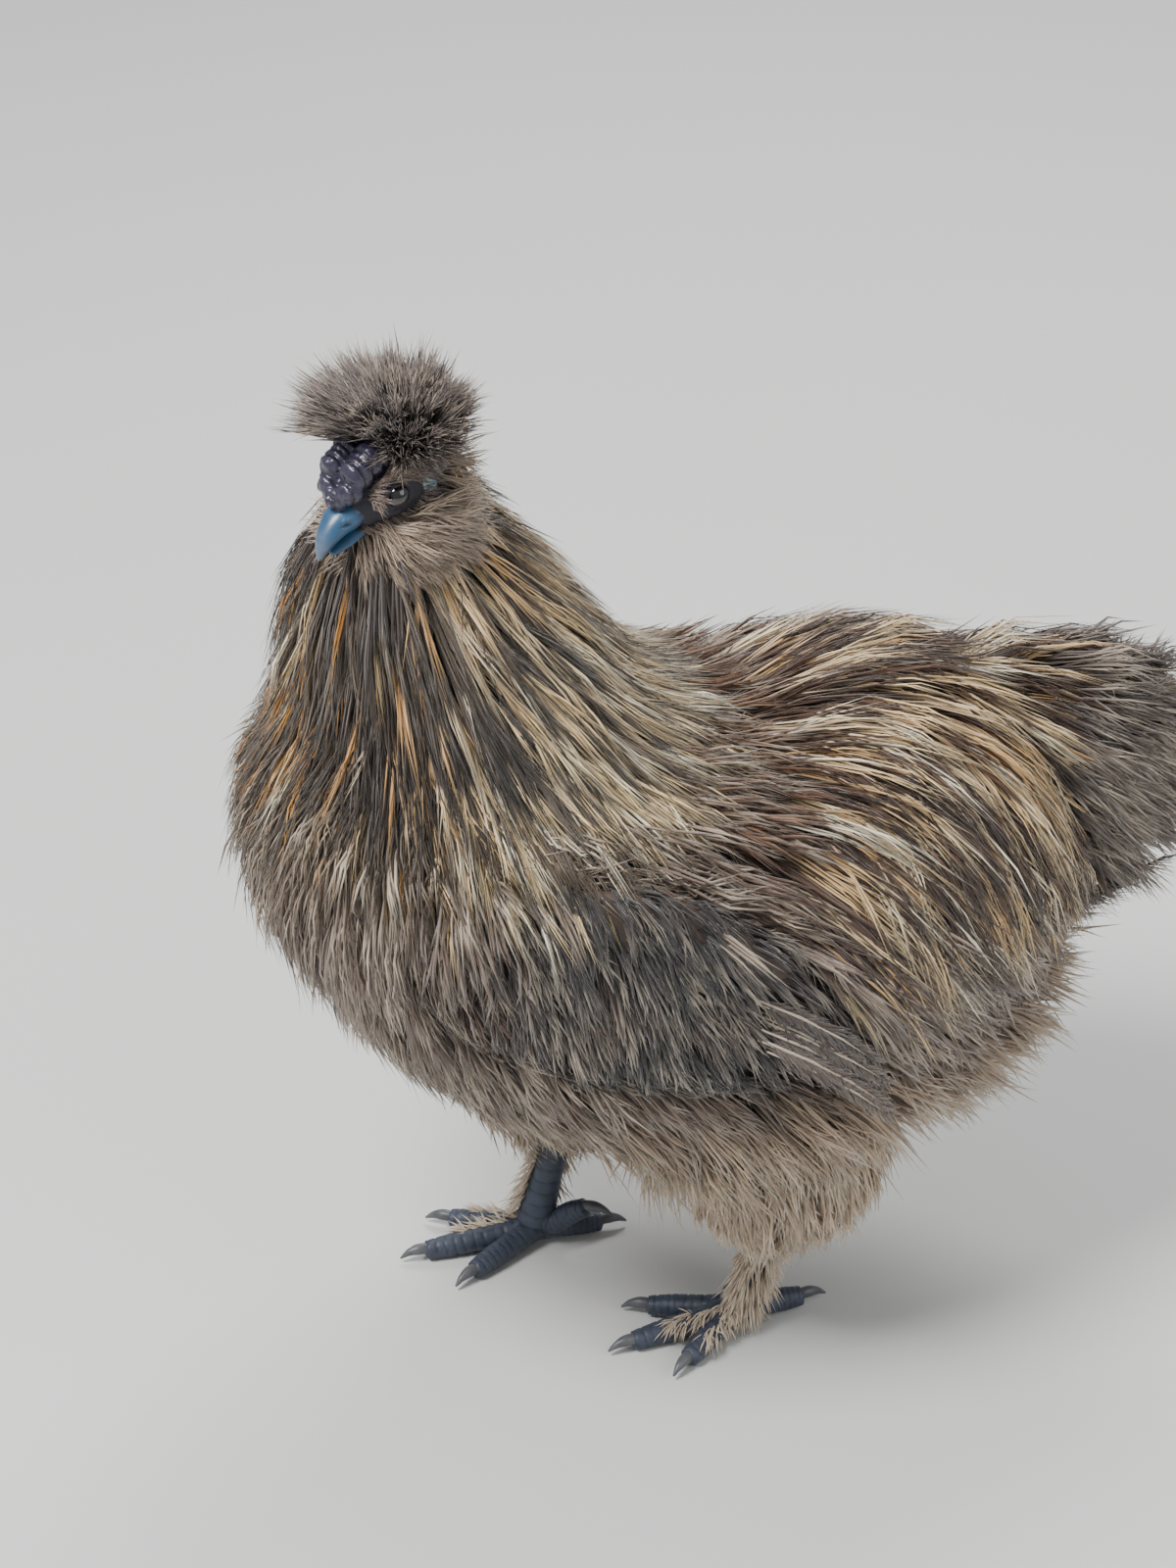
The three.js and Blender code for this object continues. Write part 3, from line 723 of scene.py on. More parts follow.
# slot, tufts for each square centimetre, strands in a tuft, length, strand width, spread of the roots,
# spread of the tips, height over the skin, how closely it hugs the skin
LOOKS = {
    "breast": ("body", 4.4, 9, 38, 1.2, 3.4, 4.6, 17, 0.75),
    "torso": ("body", 3.3, 8, 40, 1.4, 3.6, 4.6, 16, 0.8),
    "saddle": ("saddle", 5.1, 8, 68, 1.05, 2.8, 4.0, 14, 0.62),
    "belly": ("fluff", 3.4, 9, 40, 1.3, 3.8, 8.0, 24, 0.35),
    "neck": ("hackle", 8.8, 6, 68, 0.92, 1.6, 2.6, 12, 0.74),
    "tail": ("tail", 8.0, 9, 31, 1.05, 3.6, 6.5, 30, 0.1),
    "crest": ("crest", 46.0, 9, 20, 0.65, 1.8, 3.8, 24, 0.0),
    "beard": ("face", 28.0, 9, 19, 0.64, 1.8, 4.4, 12, 0.4),
    "skull": ("face", 60.0, 7, 7.5, 0.42, 1.0, 1.6, 2.4, 0.8),
    "wing": ("wing", 5.8, 8, 26, 1.05, 2.6, 3.2, 7, 0.85),
    "thigh": ("fluff", 5.0, 9, 25, 1.2, 3.4, 5.0, 12, 0.6),
}
HALVED = ("breast", "belly", "neck", "saddle")  # zones with a piece for each side


def zone_kind(zone):
    return zone.split("_")[0]


def plumage_colours(zone, points, rng):
    """Four colours along each strand, from root to tip, for strands rooted at the points."""
    c, count, kind = colours(), len(points), zone_kind(zone)
    base = markings(points)
    # In every kind below, the stops near the root are the strand's own colour darkened: painted shade deep in
    # the coat.
    pick = rng.random(count)
    if kind in ("neck", "saddle"):
        front = front_of(points)
        golden = front * ramp(pick, 0.0, 0.1) if kind == "neck" else 0.55 * ramp(rng.random(count), 0.4, 0.9)
        light = mixed(c["straw"], c["gold"], golden)
        light = mixed(light, c["cream"], (1 - golden) * ramp(rng.random(count), 0.5, 0.95))
        share = 0.56 - 0.36 * front if kind == "neck" else 0.42
        dark = mixed(base, c["umber"], 0.35 + 0.5 * rng.random(count))
        strong = np.where((pick < share)[:, None], light, dark)
        stops = [base * 0.45, mixed(base, strong, 0.7), strong, strong * 1.05]
    elif kind in ("breast", "torso", "wing", "tail"):
        if kind in ("wing", "tail"):
            warm = c["saddle"] if kind == "wing" else c["breast"]
            base = mixed(c[kind], warm, 0.4 * ramp(0.5 + 0.5 * wander(points, 30, 6), 0.4, 0.8))
        reach = {"breast": 0.95, "torso": 0.7, "wing": 0.6, "tail": 0.8}[kind]
        tip = mixed(base, c["tips"], reach * ramp(pick, 0.4, 0.8))
        stops = [base * 0.5, base * 0.8, mixed(base, tip, 0.5), tip]
    elif kind in ("belly", "thigh"):
        base = mixed(base, c["belly"], 0.75 - 0.4 * rng.random(count))
        stops = [base * 0.6, base * 0.9, base, mixed(base, c["cream"], 0.85 * ramp(pick, 0.2, 0.9))]
    else:
        tan = 0.7 * ramp(to_head(points)[:, 0], -4, 6) if kind != "crest" else np.full(count, 0.15)
        base = mixed(c["crest"], c["breast"] * 1.3, tan)
        if kind == "beard":
            base = mixed(base, c["belly"], 0.35 + 0.3 * pick)
        stops = [base * 0.55, base * 0.85, base, mixed(base, c["tips"], 0.6 * ramp(pick, 0.45, 0.95))]
    return np.stack(stops, 1) * (0.82 + 0.36 * rng.random(count))[:, None, None]


class Plumage:
    """Strands gathered for one piece of the coat."""

    def __init__(self, name):
        self.name, self.rows = name, []

    def add(self, paths, widths, flats, stops, maps):
        """Four places, a width, the way the flat side faces, four colours and a place in the map for each."""
        self.rows.append((paths, np.broadcast_to(widths, len(paths)), flats, stops, maps))

    def build(self):
        """Solid tapered strands with three corners, closed at both ends."""
        paths, widths, flats, stops, maps = (np.concatenate(part) for part in zip(*self.rows))
        count = len(paths)
        along = unit(np.gradient(paths, axis=1))
        side = unit(np.cross(along, flats[:, None, :]))
        over = np.cross(side, along)
        taper = np.array([0.7, 1.0, 0.75])[None, :, None] * widths[:, None, None] / 2
        corners = [side * 1.0 - over * 0.2, over * 0.55, -side * 1.0 - over * 0.2]
        rings = np.stack([paths[:, :3] + corner[:, :3] * taper for corner in corners], 2).reshape(count, 9, 3)
        points = np.concatenate([rings, paths[:, 3:]], 1)
        triangles = [t for a, b, c, d in ring_quads(3, 3) for t in ((a, b, c), (a, c, d))]
        triangles += [(6 + j, 9, 6 + (j + 1) % 3) for j in range(3)] + [(0, 1, 2)]
        triangles = np.array(triangles)
        corner_index = (triangles[None] + 10 * np.arange(count)[:, None, None]).reshape(-1)
        mesh = bpy.data.meshes.new(self.name)
        mesh.vertices.add(count * 10)
        mesh.vertices.foreach_set("co", place(points.reshape(-1, 3)).astype(np.float32).ravel())
        mesh.loops.add(len(corner_index))
        mesh.loops.foreach_set("vertex_index", corner_index.astype(np.int32))
        mesh.polygons.add(len(corner_index) // 3)
        mesh.polygons.foreach_set("loop_start", np.arange(0, len(corner_index), 3, dtype=np.int32))
        mesh.polygons.foreach_set("use_smooth", np.ones(len(corner_index) // 3, bool))
        mesh.update(calc_edges=True)
        paint(mesh, stops[:, [0, 0, 0, 1, 1, 1, 2, 2, 2, 3]].reshape(-1, 3))
        local = np.array([[j / 2, r / 3] for r in range(3) for j in range(3)] + [[0.5, 1]]) * PATCH
        flat_map = (maps[:, None, :] + local[None]).reshape(-1, 2)[corner_index]
        mesh.uv_layers.new(name=BAKE_MAP).data.foreach_set("uv", flat_map.astype(np.float32).ravel())
        made = bpy.data.objects.new(self.name, mesh)
        bpy.context.scene.collection.objects.link(made)
        return made


def skin_roots(skin, rng):
    """Random places on the skin, as many in each zone as its look asks for."""
    mesh = skin.data
    mesh.calc_loop_triangles()
    count = len(mesh.loop_triangles)
    corner, loops = np.empty((2, count * 3), np.int32)
    area, flat = np.empty(count, np.float32), np.empty(len(mesh.loops) * 2, np.float32)
    mesh.loop_triangles.foreach_get("vertices", corner)
    mesh.loop_triangles.foreach_get("loops", loops)
    mesh.loop_triangles.foreach_get("area", area)
    mesh.uv_layers[BAKE_MAP].data.foreach_get("uv", flat)
    points = points_of(skin)[corner.reshape(-1, 3)]
    normals = vectors(mesh.vertex_normals, "vector")[corner.reshape(-1, 3)]
    maps = flat.reshape(-1, 2)[loops.reshape(-1, 3)]
    zones, lies = zone_of(points.mean(1), unit(normals.mean(1)))
    density = np.array([LOOKS[zone_kind(z)][1] for z in zones])
    wanted = area / MM**2 / 100 * density * sizes().fullness
    times = np.floor(wanted + rng.random(count)).astype(int)
    pick = np.repeat(np.arange(count), times)
    share = rng.dirichlet([1, 1, 1], len(pick))[:, :, None]
    point, normal, spot = ((rows[pick] * share).sum(1) for rows in (points, normals, maps))
    return {"zone": zones[pick], "lie": lies[pick], "point": point, "normal": unit(normal), "map": spot}


def combed(points, normals, lies, length, height, hug, tree):
    """Four places along each tuft, growing out of the skin and following it."""
    step = length / 3
    out = [points]
    here, way, normal = points, lies, normals
    for rise in (0.45, 0.85, 1.0):
        flat = unit(way - normal * np.sum(way * normal, -1, keepdims=True) * hug[:, None])
        ahead = here + (flat + normal * (1 - hug[:, None]) * 0.3) * step[:, None]
        ahead = ahead + DOWN * (0.08 * rise * step)[:, None]
        near = [tree.find_nearest(Vector(place(p))) for p in ahead]
        feet = (np.array([n[0] for n in near]) - SHIFT) / MM
        normal_next = np.array([n[1] for n in near])
        over = feet + normal_next * (height * rise)[:, None]
        low = np.sum((ahead - feet) * normal_next, -1) < height * rise * 0.6
        pull = np.maximum(hug, 0.9 * low * (hug > 0))[:, None]
        ahead = ahead * (1 - pull) + over * pull
        out.append(ahead)
        here, normal = ahead, unit(normal + normal_next * hug[:, None])
    return np.stack(out, 1)


def tufts(piece, zone, points, normals, lies, maps, tree, rng):
    """Adds tufts rooted at the points to one piece of the coat."""
    _, _, strands, length, width, root_spread, tip_spread, height, hug = LOOKS[zone_kind(zone)]
    count = len(points)
    front = front_of(points)
    lengths = length * rng.uniform(0.78, 1.12, count)
    heights = height * rng.uniform(0.6, 1.05, count)
    if zone == "neck":
        lengths = lengths * (0.62 + 0.38 * ramp(points[:, 2], 236, 290))
        heights = heights * (1 + 0.45 * front)
    if zone == "breast":
        heights = heights * (0.85 + 0.2 * front * ramp(points[:, 2], 190, 225))
    if zone == "crest":
        local = to_head(points)
        lengths = lengths * (0.72 + 0.28 * ramp(local[:, 0], -16, -4)) * (0.85 + 0.3 * rng.random(count))
        lengths = lengths * (1 - 0.28 * ramp(local[:, 2], 19, 24))
    sway = unit(lies + rng.normal(0, 0.13, (count, 3)))
    paths = combed(points, normals, sway, lengths, heights, np.full(count, hug), tree)
    paths = np.repeat(paths, strands, 0)
    total, s = len(paths), SHARES
    flats = unit(np.repeat(normals, strands, 0) + rng.normal(0, 0.35, (total, 3)))
    root = rng.normal(0, root_spread / 2, (total, 1, 3))
    tip = rng.normal(0, tip_spread / 2, (total, 1, 3))
    reach = rng.uniform(0.72, 1.06, (total, 1, 1))
    paths = paths[:, :1] + (paths - paths[:, :1]) * (1 + (reach - 1) * s)
    paths = paths + root * (1 - s) + tip * s**1.4 + rng.normal(0, 0.5, (total, 4, 3)) * s
    stops = np.repeat(plumage_colours(zone, points, rng), strands, 0)
    stops = stops * rng.uniform(0.8, 1.2, (total, 1, 1))
    widths = width * rng.uniform(0.75, 1.2, total) * sizes().strand / STRAND
    piece.add(paths, widths, flats, stops, np.repeat(maps, strands, 0))


def vane(piece, path, flat, across, barbs, barb_length, tone, mark, rng, tips):
    """One loose flight feather: a pale shaft with soft separate barbs to both sides."""
    c = colours()
    shaft = path.at(np.array([0, 0.33, 0.67, 0.97]))[None]
    horn = mixed(c["tips"], c["breast"], 0.35)
    piece.add(shaft + flat * 0.8, 1.1, flat[None], np.tile(horn, (1, 4, 1)), mark[None])
    start = rng.uniform(0.06, 0.99, barbs)
    side = np.where(rng.random(barbs) < 0.5, 1, -1)[:, None]
    root = path.at(start)
    along = unit(path.at(np.minimum(start + 0.01, 1)) - path.at(np.maximum(start - 0.01, 0)))
    reach = (barb_length * rng.uniform(0.65, 1.1, barbs) * (1.05 - 0.45 * start**3))[:, None]
    way = along * rng.uniform(1.4, 2.4, (barbs, 1)) + across * side * 0.8
    way = unit(way + rng.normal(0, 0.1, (barbs, 3)))
    s = SHARES
    paths = root[:, None] + way[:, None] * reach[:, None] * s + along[:, None] * reach[:, None] * 0.25 * s**2
    paths = paths + DOWN * (0.1 * reach[:, None] * s**2) + rng.normal(0, 0.5, (barbs, 4, 3)) * s
    base = tone[None] * rng.uniform(0.7, 1.3, (barbs, 1))
    pale = mixed(base, c["tips"], tips * ramp(start, 0.45, 1.0) * rng.random(barbs))
    stops = np.stack([base * 0.8, base, mixed(base, pale, 0.6), pale], 1)
    rows = (np.tile(flat, (barbs, 1)), stops, np.tile(mark, (barbs, 1)))
    piece.add(paths, rng.uniform(0.7, 1.1, barbs), *rows)


# The pieces

FLESH = [
    "head", "neck", "breast", "torso", "saddle", "abdomen", "crest", "beard", "tail",
    "wing_left", "wing_right", "thigh_left", "thigh_right",
]


class SILKIE_OT_skin(bpy.types.Operator):
    """Builds the skin that the feathers grow from, with the face and eyelids"""

    bl_idname = "silkie.skin"
    bl_label = "Skin"

    def execute(self, context):
        trunk, face = [], []
        for zone, form, depth, grid, _ in coat_forms():
            group = face if zone in ("skull", "crest", "beard") else trunk
            group.append(limb_object("part", form, *grid, depth))
        trunk = remeshed(joined("skin", trunk), voxel=2.4, smooth=3)
        for side in SIDES.values():
            out = eye_way(side)
            turn = facing(out, head_way([0, 0, 1]))
            lid_place = eye_centre(side) + 1.5 * out
            face.append(ring("lid", lid_place, turn, 4.6, 1.1, (1.12, 0.78)))
            face.append(ring("fold", lid_place - 1.6 * out, turn, 6.7, 1.15, (1.12, 0.9)))
        face = remeshed(joined("face", face), voxel=0.6)
        raise_skin(face, 0.22 * wander(points_of(face), 2.2, 9))
        skin = joined("skin", [trunk, face])
        points = points_of(skin)
        bare = ramp(to_head(points)[:, 0], -4, 3) * ramp(points[:, 2], HEAD_START, HEAD_DARK)
        # Under the feathers the skin is the plumage colour darkened to 0.42: painted shade of the coat's
        # depth. The bare face keeps its own dark skin colour.
        tone = mixed(markings(points) * 0.42, colours()["face_skin"], bare)
        paint(skin.data, tone * (1 + 0.2 * wander(points, 3, 1))[:, None])
        unwrap(skin)
        material = tinted_material("skin_material", 700, 0.4, 0.25, Roughness=0.62)
        dress(skin, material, FLESH)
        return {"FINISHED"}


class SILKIE_OT_face(bpy.types.Operator):
    """Builds the eyes, comb, beak and ear lobes"""

    bl_idname = "silkie.face"
    bl_label = "Eyes, comb and beak"

    def execute(self, context):
        c = colours()
        wet = tinted_material("eye_material", 2000, 0.0, 0.0, Roughness=0.06, Coat_Weight=1.0)
        lobe_skin = tinted_material("lobe_material", 1500, 0.25, 0.3, Roughness=0.5)
        for name, side in SIDES.items():
            eye = ball("eye_" + name + "_model", eye_centre(side), EYE_RADIUS, facing(eye_way(side)), 64)
            out = (points_of(eye) - eye_centre(side)) @ eye_way(side) / EYE_RADIUS
            iris = ramp(out, 0.66, 0.72) * (1 - ramp(out, 0.84, 0.88))
            paint(eye.data, mixed(linear("050405"), linear("150d0b"), iris))
            dress(eye, wet, ["eye_" + name])
            turn = facing(head_way([0, side, 0]), head_way([0, 0, 1]))
            lobe = ball("ear_" + name + "_model", lobe_centre(side), LOBE_RADII, turn, 40)
            points = points_of(lobe)
            raise_skin(lobe, 0.25 * wander(points, 1.6, 2))
            paint(lobe.data, c["lobe"] * (1 + 0.2 * wander(points, 2, 7))[:, None])
            dress(lobe, lobe_skin, ["ear_" + name])
        self.comb(c)
        self.beak(c)
        return {"FINISHED"}

    def comb(self, c):
        """A walnut comb: lumps with furrows between them and warty skin."""
        bulbs = [ball("bulb", in_head(b[:3]), b[3], np.eye(3)) for b in COMB_BULBS]
        comb = remeshed(joined("comb_model", bulbs), voxel=0.45)
        points = points_of(comb)
        local = to_head(points)
        warts = wander(points, 2.4, 4) * 0.45 + wander(points, 1.1, 8) * 0.2
        furrow = np.exp(-((np.mod(local[:, 0] - 13.6 + 2.2, 4.4) - 2.2) ** 2) / 0.5) * 0.7
        middle = np.exp(-(local[:, 1] ** 2) / 0.6) * 0.5
        raise_skin(comb, warts - furrow - middle)
        # Painted light and shade: the raised warts are painted lighter and the furrows darker.
        shade = 0.8 + 0.45 * np.clip(warts, -1, 1) - 0.4 * furrow
        paint(comb.data, c["comb"] * shade[:, None])
        skin = tinted_material("comb_material", 1600, 0.3, 0.35, Roughness=0.34, Coat_Weight=0.25)
        dress(comb, skin, ["comb"])

    def beak(self, c):
        """Upper and lower halves, with nostrils under a soft flap."""
        horn = tinted_material("beak_material", 900, 0.15, 0.08, Roughness=0.36, Coat_Weight=0.15)
        for name, form in (("beak_upper", UPPER_BEAK_FORM), ("beak_lower", LOWER_BEAK_FORM)):
            nostrils = SIDES.values() if name == "beak_upper" else ()
            spots = [in_head([24.2, s * 4.4, -1.2]) for s in nostrils]
            flaps = [ball("flap", spot, (2.6, 1.0, 1.3), HEAD_TURN) for spot in spots]
            half = joined(name + "_model", [limb_object("half", form, 40, 60, bulge=0.9)] + flaps)
            half = remeshed(half, voxel=0.35, smooth=3)
            points = points_of(half)
            local = to_head(points)
            hole = np.zeros(len(points))
            for s in nostrils:
                hole += np.exp(-(((local - [25.6, s * 4.9, -2.4]) / [1.7, 1.6, 0.6]) ** 2).sum(1))
            raise_skin(half, -hole)
            root = 1 - ramp(local[:, 0], 18.5, 23)
            tone = mixed(c["beak"], c["face_skin"], 0.75 * root)
            tone = mixed(tone, c["tips"], 0.1 * ramp(local[:, 0], 30, 36))
            # The nostril pits are painted up to 85% darker: painted shade in the openings.
            paint(half.data, tone * (1 - 0.85 * hole + 0.15 * wander(points * [1, 1, 2], 3, 6))[:, None])
            dress(half, horn, [name])


def scaled_limb(name, form, steps, scutes, depth):
    """A limb with bands of plates along it, each band waving a little round it."""
    sides = 40
    made = limb_object(name, form, sides, steps, bulge=0.6)
    t = np.repeat(np.linspace(0, 1, steps + 1), sides)
    a = np.tile(np.linspace(0, 2 * math.pi, sides, endpoint=False), steps + 1)
    edge = 1 - np.abs(np.mod(t * scutes + 0.12 * np.sin(2 * a), 1) - 0.5) * 2
    ridge = ramp(edge, 0.0, 0.25) - 0.5
    # Painted shade and light: the seams between the plates are painted darker and the raised plates lighter.
    tone = np.concatenate([0.75 + 0.45 * ridge, [1, 1]]) * (1 + 0.25 * wander(points_of(made), 4, 3))
    raise_skin(made, np.concatenate([ridge * depth, [0, 0]]))
    paint(made.data, colours()["shank"] * tone[:, None])
    return made


def toe_parts(side, foot):
    """Name, path points, radii along them and direction of each toe."""
    out = []
    for name, turn, length, root, lift in TOES:
        angle = math.radians(turn)
        way = np.array([side * math.sin(angle), -math.cos(angle), 0])
        r = TOE_RADIUS
        heights = [root, r + 1.2 + lift * 0.3, r + 0.4 + lift * 0.7, r * 0.92 + lift]
        path = [foot + way * length * s - DOWN * h for s, h in zip((0, 0.35, 0.7, 1.0), heights)]
        out.append((name, path, [r * 1.25, r * 1.0, r * 0.98, r * 0.8], way))
    return out


class SILKIE_OT_feet(bpy.types.Operator):
    """Builds the scaled shanks, the five toes of each foot and their claws"""

    bl_idname = "silkie.feet"
    bl_label = "Feet"

    def execute(self, context):
        scales = tinted_material("shank_material", 1200, 0.3, 0.3, Roughness=0.5)
        horn = tinted_material("claw_material", 800, 0.2, 0.1, Roughness=0.4)
        for name, side in SIDES.items():
            foot = FOOT[name]
            shank = scaled_limb("leg_" + name + "_model", side_limb(SHANK, side, foot), 110, 17, 0.5)
            dress(shank, scales, ["leg_" + name])
            toes = []
            for toe, path, radii, way in toe_parts(side, foot):
                form = Limb([(p, r, r * 0.98) for p, r in zip(path, radii)], np.cross(way, [0, 0, 1]))
                toes.append(scaled_limb("toe_" + toe, form, 60, 11, 0.42))
                self.claw(name, toe, path[-1], radii[-1], way, horn)
            feet = joined("foot_" + name + "_model", toes)
            for vertex in feet.data.vertices:
                vertex.co.z = max(vertex.co.z, SOLE)
            feet.data.update()
            dress(feet, scales, ["foot_" + name])
        return {"FINISHED"}

    def claw(self, name, toe, tip, radius, way, horn):
        """A short curved claw on the end of a toe."""
        # forward, up and share of the toe's radius
        rows = [(-1.5, 0.6, 0.62), (3, 1.0, 0.62), (7, 0.3, 0.42), (10.5, -1.7, 0.12)]
        stations = [(tip + way * far - DOWN * high, radius * wide, radius * wide) for far, high, wide in rows]
        node = "claw_" + toe + "_" + name
        made = limb_object(node + "_model", Limb(stations, np.cross(way, -DOWN)), 24, 30, bulge=0.8)
        paint(made.data, colours()["claw"] * (1 + 0.3 * wander(points_of(made), 3, 2))[:, None])
        dress(made, horn, [node])


class SILKIE_OT_coat(bpy.types.Operator):
    """Grows the plumage from the skin, a piece for each part of the bird"""

    bl_idname = "silkie.coat"
    bl_label = "Plumage"

    def execute(self, context):
        rng = np.random.default_rng(SEED)
        skin = bpy.data.objects.get("skin")
        if skin is None:
            raise RuntimeError("the skin comes before the plumage")
        mesh = skin.data
        tree = BVHTree.FromPolygons([v.co[:] for v in mesh.vertices], [p.vertices[:] for p in mesh.polygons])
        roots = skin_roots(skin, rng)
        self.maps = roots["map"]
        self.places = search_tree(roots["point"])
        open_places = self.open_places(roots["point"])
        material = tinted_material("plumage_material", 1500, 0.3, 0.0, Roughness=0.72, Sheen_Weight=0.25)
        quills = np.array([str(z).startswith("wing") for z in roots["zone"]]) & (roots["point"][:, 1] > 4)
        open_places &= ~(quills & (rng.random(len(quills)) < 0.6))
        left = roots["point"][:, 0] > 0
        for zone in sorted(set(roots["zone"])):
            here = (roots["zone"] == zone) & open_places
            halves = {"_left": left, "_right": ~left} if zone in HALVED else {"": True}
            for ending, half in halves.items():
                piece = Plumage("coat_" + zone + ending)
                rows = [roots[key][here & half] for key in ("point", "normal", "lie", "map")]
                tufts(piece, zone, *rows, tree, rng)
                if zone.startswith("wing"):
                    self.flight(piece, SIDES[zone.split("_")[1]], rng)
                if zone == "tail":
                    self.tail(piece, rng)
                dress(piece.build(), material)
        for name, side in SIDES.items():
            self.boots(name, side, material, rng)
        return {"FINISHED"}

    def map_at(self, points):
        """The unwrap's coordinates at the places on the skin nearest to the points."""
        return self.maps[nearest_rows(self.places, points)]

    def open_places(self, points):
        """Leaves out the eyes, the ear lobes, the comb and the bare skin around the beak."""
        local = to_head(points)
        clear = np.ones(len(points), bool)
        for side in SIDES.values():
            clear &= np.linalg.norm((local - to_head(eye_centre(side))) * [0.85, 1, 1.15], axis=1) > EYE_BARE
            clear &= np.linalg.norm(points - lobe_centre(side), axis=1) > LOBE_RADII[0]
        for bulb in COMB_BULBS:
            clear &= np.linalg.norm(local - bulb[:3], axis=1) > bulb[3] + 0.6
        bare = (local[:, 0] > 9.5) & (local[:, 2] > -6.5) & (local[:, 2] < 3.5) & (points[:, 2] > HEAD_START)
        return clear & ~bare

    def flight(self, piece, side, rng):
        """The loose quills of a folded wing, from the bend back over the flank."""
        c = colours()
        out = unit(np.array([side, 0.0, 0.35]))
        for share in np.linspace(0, 1, QUILLS):
            start, end = (
                mixed(*ends, share) * [side, 1, 1] + rng.normal(0, 1.2, 3)
                for ends in (QUILL_ROOTS, QUILL_TIPS)
            )
            path = Curve([start, (start + end) / 2 + np.array([side * 3, 2, 2]), end])
            across = unit(np.cross(out, end - start))
            tone = mixed(c["wing"], c["breast"], 0.3 + 0.35 * share)
            vane(piece, path, out, across, 120, 9, tone, self.map_at([start])[0], rng, 0.5)

    def tail(self, piece, rng):
        """Rounded, loose tail feathers around the rump."""
        tone = colours()["tail"]
        for _ in range(TAIL_VANES):
            a = rng.uniform(0, 2 * math.pi)
            t = rng.uniform(0.25, 0.9)
            root = TAIL_FORM.point(t, a, TAIL_COAT + 2)
            back = rng.uniform(192, 222) - 12 * abs(math.sin(a))
            end = TAIL_FORM.point(0.8, a, 14) * [0.95, 0, 1] + [0, back, -20]
            middle = (root + end) / 2 + (TAIL_FORM.point(t, a, 8) - root) * 0.5
            out = unit(root - TAIL_FORM.path.at(np.array(t)))
            across = unit(np.cross(out, end - root))
            path = Curve([root, middle, end])
            vane(piece, path, out, across, 80, 15, tone, self.map_at([root])[0], rng, 0.8)

    def boots(self, name, side, material, rng):
        """Short muddy feathers down the outside of the shank and over the outer toes."""
        foot = FOOT[name]
        form = side_limb(SHANK, side, foot)
        t, a = rng.uniform(0.15, 0.97, BOOT_TUFTS), rng.uniform(0.2, 2.9, BOOT_TUFTS) * side
        roots = form.point(t, a, 0.6)
        normal = form.normal(t, a)
        way = unit(form.frame(t)[1] + 0.75 * normal)
        for toe, path, _, toe_way in toe_parts(side, foot):
            if toe in ("outer", "middle"):
                tops = Curve(path).at(rng.uniform(0.05, 0.6, TOE_TUFTS)) - DOWN * TOE_RADIUS * 0.7
                roots = np.vstack([roots, tops])
                normal = np.vstack([normal, np.tile(-DOWN, (TOE_TUFTS, 1))])
                out = toe_way + np.array([side * 0.8, 0, 0.1])
                way = np.vstack([way, unit(out + rng.normal(0, 0.25, (TOE_TUFTS, 3)))])
        strands = BOOT_STRANDS
        rooted = np.repeat(roots, strands, 0)
        total = len(rooted)
        ways = unit(np.repeat(way, strands, 0) + rng.normal(0, 0.22, (total, 3)))
        reach = rng.uniform(6, 13, total)[:, None, None]
        paths = rooted[:, None] + ways[:, None] * reach * SHARES + DOWN * (0.25 * reach * SHARES**2)
        paths[..., 2] = np.maximum(paths[..., 2], BOOT_CLEARANCE)
        c = colours()
        base = mixed(c["tips"], c["belly"], 0.6 * rng.random(total))
        # The roots are the same colour at half strength: painted shade deep in the feathering.
        stops = np.stack([base * 0.5, base * 0.8, base, base * 1.15], 1)
        piece = Plumage("coat_foot_" + name)
        flats, maps = np.repeat(normal, strands, 0), np.repeat(self.map_at(roots), strands, 0)
        piece.add(paths, rng.uniform(0.6, 1.0, total), flats, stops, maps)
        dress(piece.build(), material)


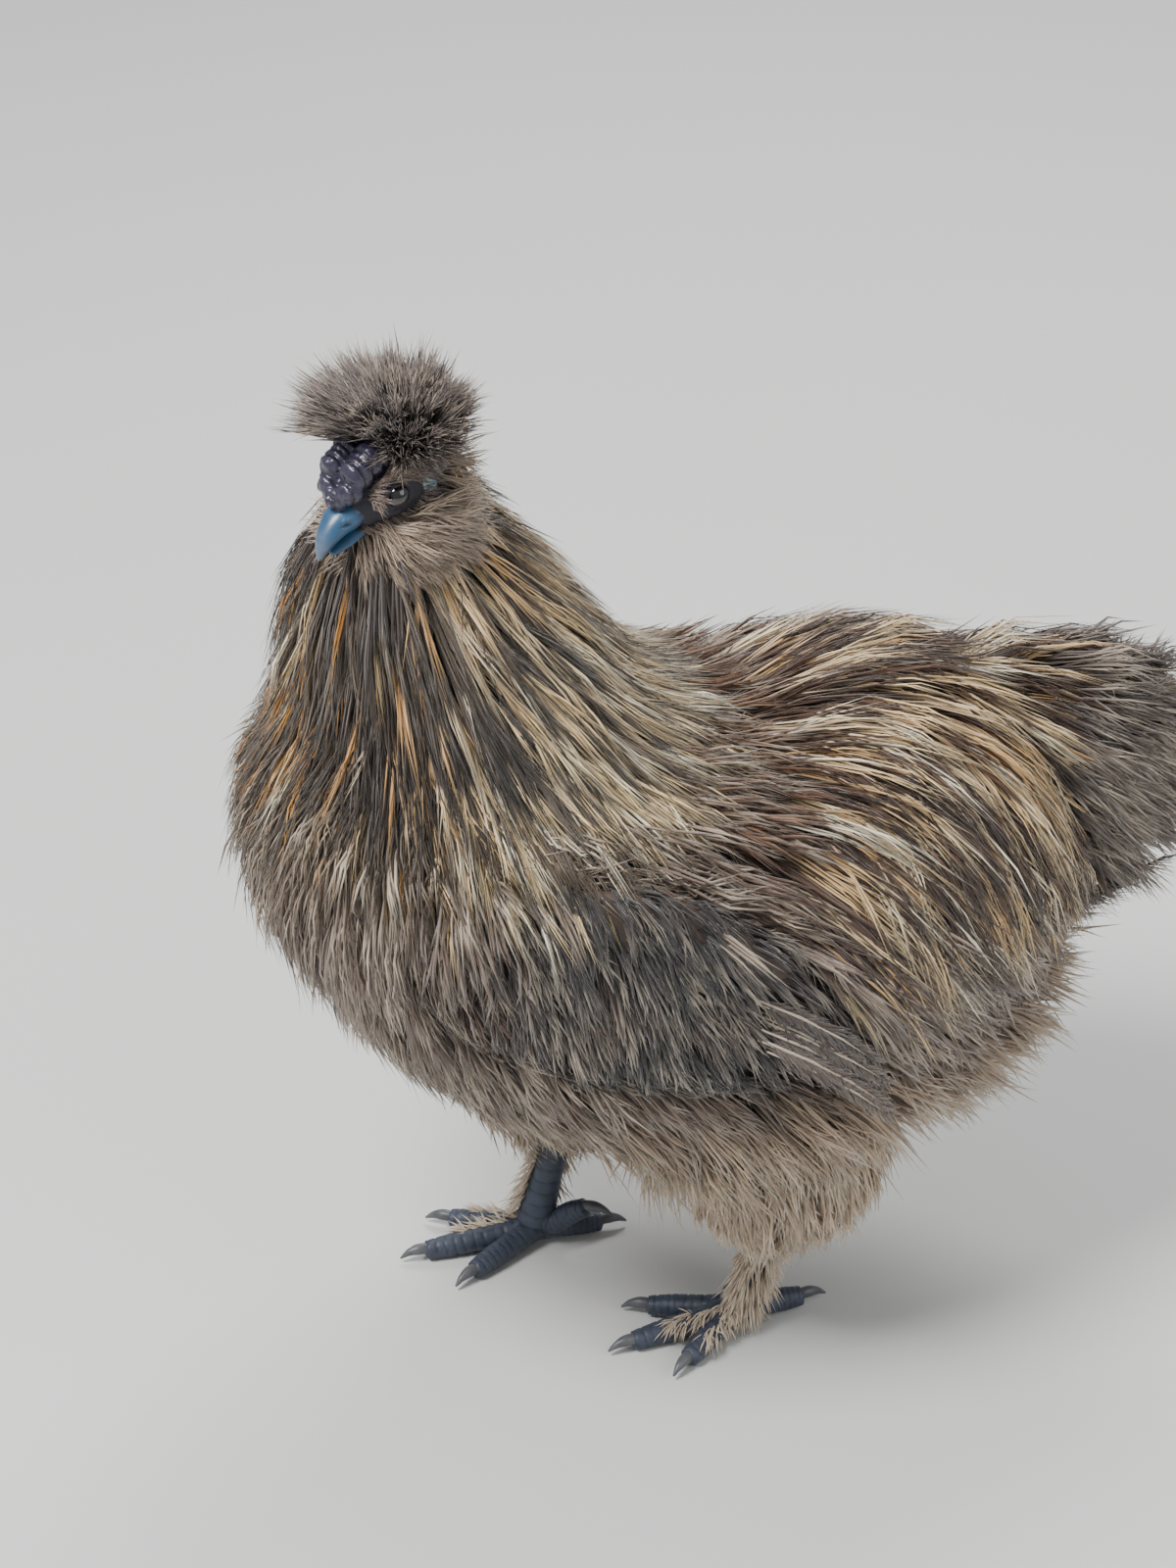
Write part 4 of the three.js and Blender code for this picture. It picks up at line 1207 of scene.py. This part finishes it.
class SILKIE_OT_stage(bpy.types.Operator):
    """Sets the floor, the soft lights and the camera"""

    bl_idname = "silkie.stage"
    bl_label = "Stage"

    target = np.array([-20.0, -5.0, 207.0])
    # azimuth and elevation in degrees, distance in metres
    view = (70, 30, 1.6)
    view_height = 0.56  # metres of the subject from the bottom to the top of the picture
    # name, azimuth, elevation, distance, width, power
    lamps = [
        ("key", 22, 55, 1.7, 0.7, 46), ("fill", 130, 30, 2.2, 1.6, 13), ("back", 235, 50, 1.9, 0.9, 26),
    ]

    def aimed(self, name, data, azimuth, elevation, distance):
        """A lamp or camera that looks at the target from a direction given in degrees."""
        azimuth, elevation = math.radians(azimuth), math.radians(elevation)
        flat = math.cos(elevation)
        way = Vector((math.sin(azimuth) * flat, -math.cos(azimuth) * flat, math.sin(elevation)))
        target = Vector(place(self.target))
        made = bpy.data.objects.new(name, data)
        made.location = target + way * distance
        made.rotation_euler = (target - made.location).to_track_quat("-Z", "Y").to_euler()
        bpy.context.scene.collection.objects.link(made)
        return made

    def execute(self, context):
        scene = context.scene
        bpy.ops.mesh.primitive_plane_add(size=sizes().floor_size)
        floor = context.object
        floor.name = "floor"
        shader = Shader("floor_material", Roughness=0.9)
        shader.put(Base_Color=shader.shaded((0.62, 0.62, 0.6), shader.noise(3) * 0.04 + 0.98))
        floor.data.materials.append(shader.material)
        for name, azimuth, elevation, distance, width, power in self.lamps:
            data = bpy.data.lights.new(name, "AREA")
            data.shape = "DISK"
            data.size = width
            data.energy = power
            self.aimed(name, data, azimuth, elevation, distance)
        world = bpy.data.worlds.new("studio")
        world.use_nodes = True
        background = world.node_tree.nodes["Background"]
        background.inputs["Color"].default_value = (0.9, 0.95, 1.0, 1)
        background.inputs["Strength"].default_value = 0.5
        scene.world = world
        data = bpy.data.cameras.new("camera")
        data.sensor_width = 36
        data.lens = data.sensor_width * self.view[2] / self.view_height
        scene.camera = self.aimed("camera", data, *self.view)
        return {"FINISHED"}


class SILKIE_PT_panel(bpy.types.Panel):
    """Shows the sizes, the colours and a button for each step that builds the silkie"""

    bl_label = "Silkie cockerel"
    bl_idname = "SILKIE_PT_panel"
    bl_space_type = "VIEW_3D"
    bl_region_type = "UI"
    bl_category = "Silkie"

    def draw(self, context):
        for group in (context.scene.silkie_sizes, context.scene.silkie_colours):
            for name in type(group).__annotations__:
                self.layout.prop(group, name)
        for operator in STEPS:
            self.layout.operator(operator.bl_idname)


STEPS = [SILKIE_OT_skin, SILKIE_OT_face, SILKIE_OT_feet, SILKIE_OT_coat, SILKIE_OT_stage]
CLASSES = [SilkieColours, SilkieSizes, *STEPS, SILKIE_PT_panel]


def register():
    for item in CLASSES:
        bpy.utils.register_class(item)
    bpy.types.Scene.silkie_colours = bpy.props.PointerProperty(type=SilkieColours)
    bpy.types.Scene.silkie_sizes = bpy.props.PointerProperty(type=SilkieSizes)


def unregister():
    del bpy.types.Scene.silkie_colours
    del bpy.types.Scene.silkie_sizes
    for item in reversed(CLASSES):
        bpy.utils.unregister_class(item)


def main():
    register()
    for step in STEPS:
        group, name = step.bl_idname.split(".")
        getattr(getattr(bpy.ops, group), name)()


if __name__ == "__main__":
    main()
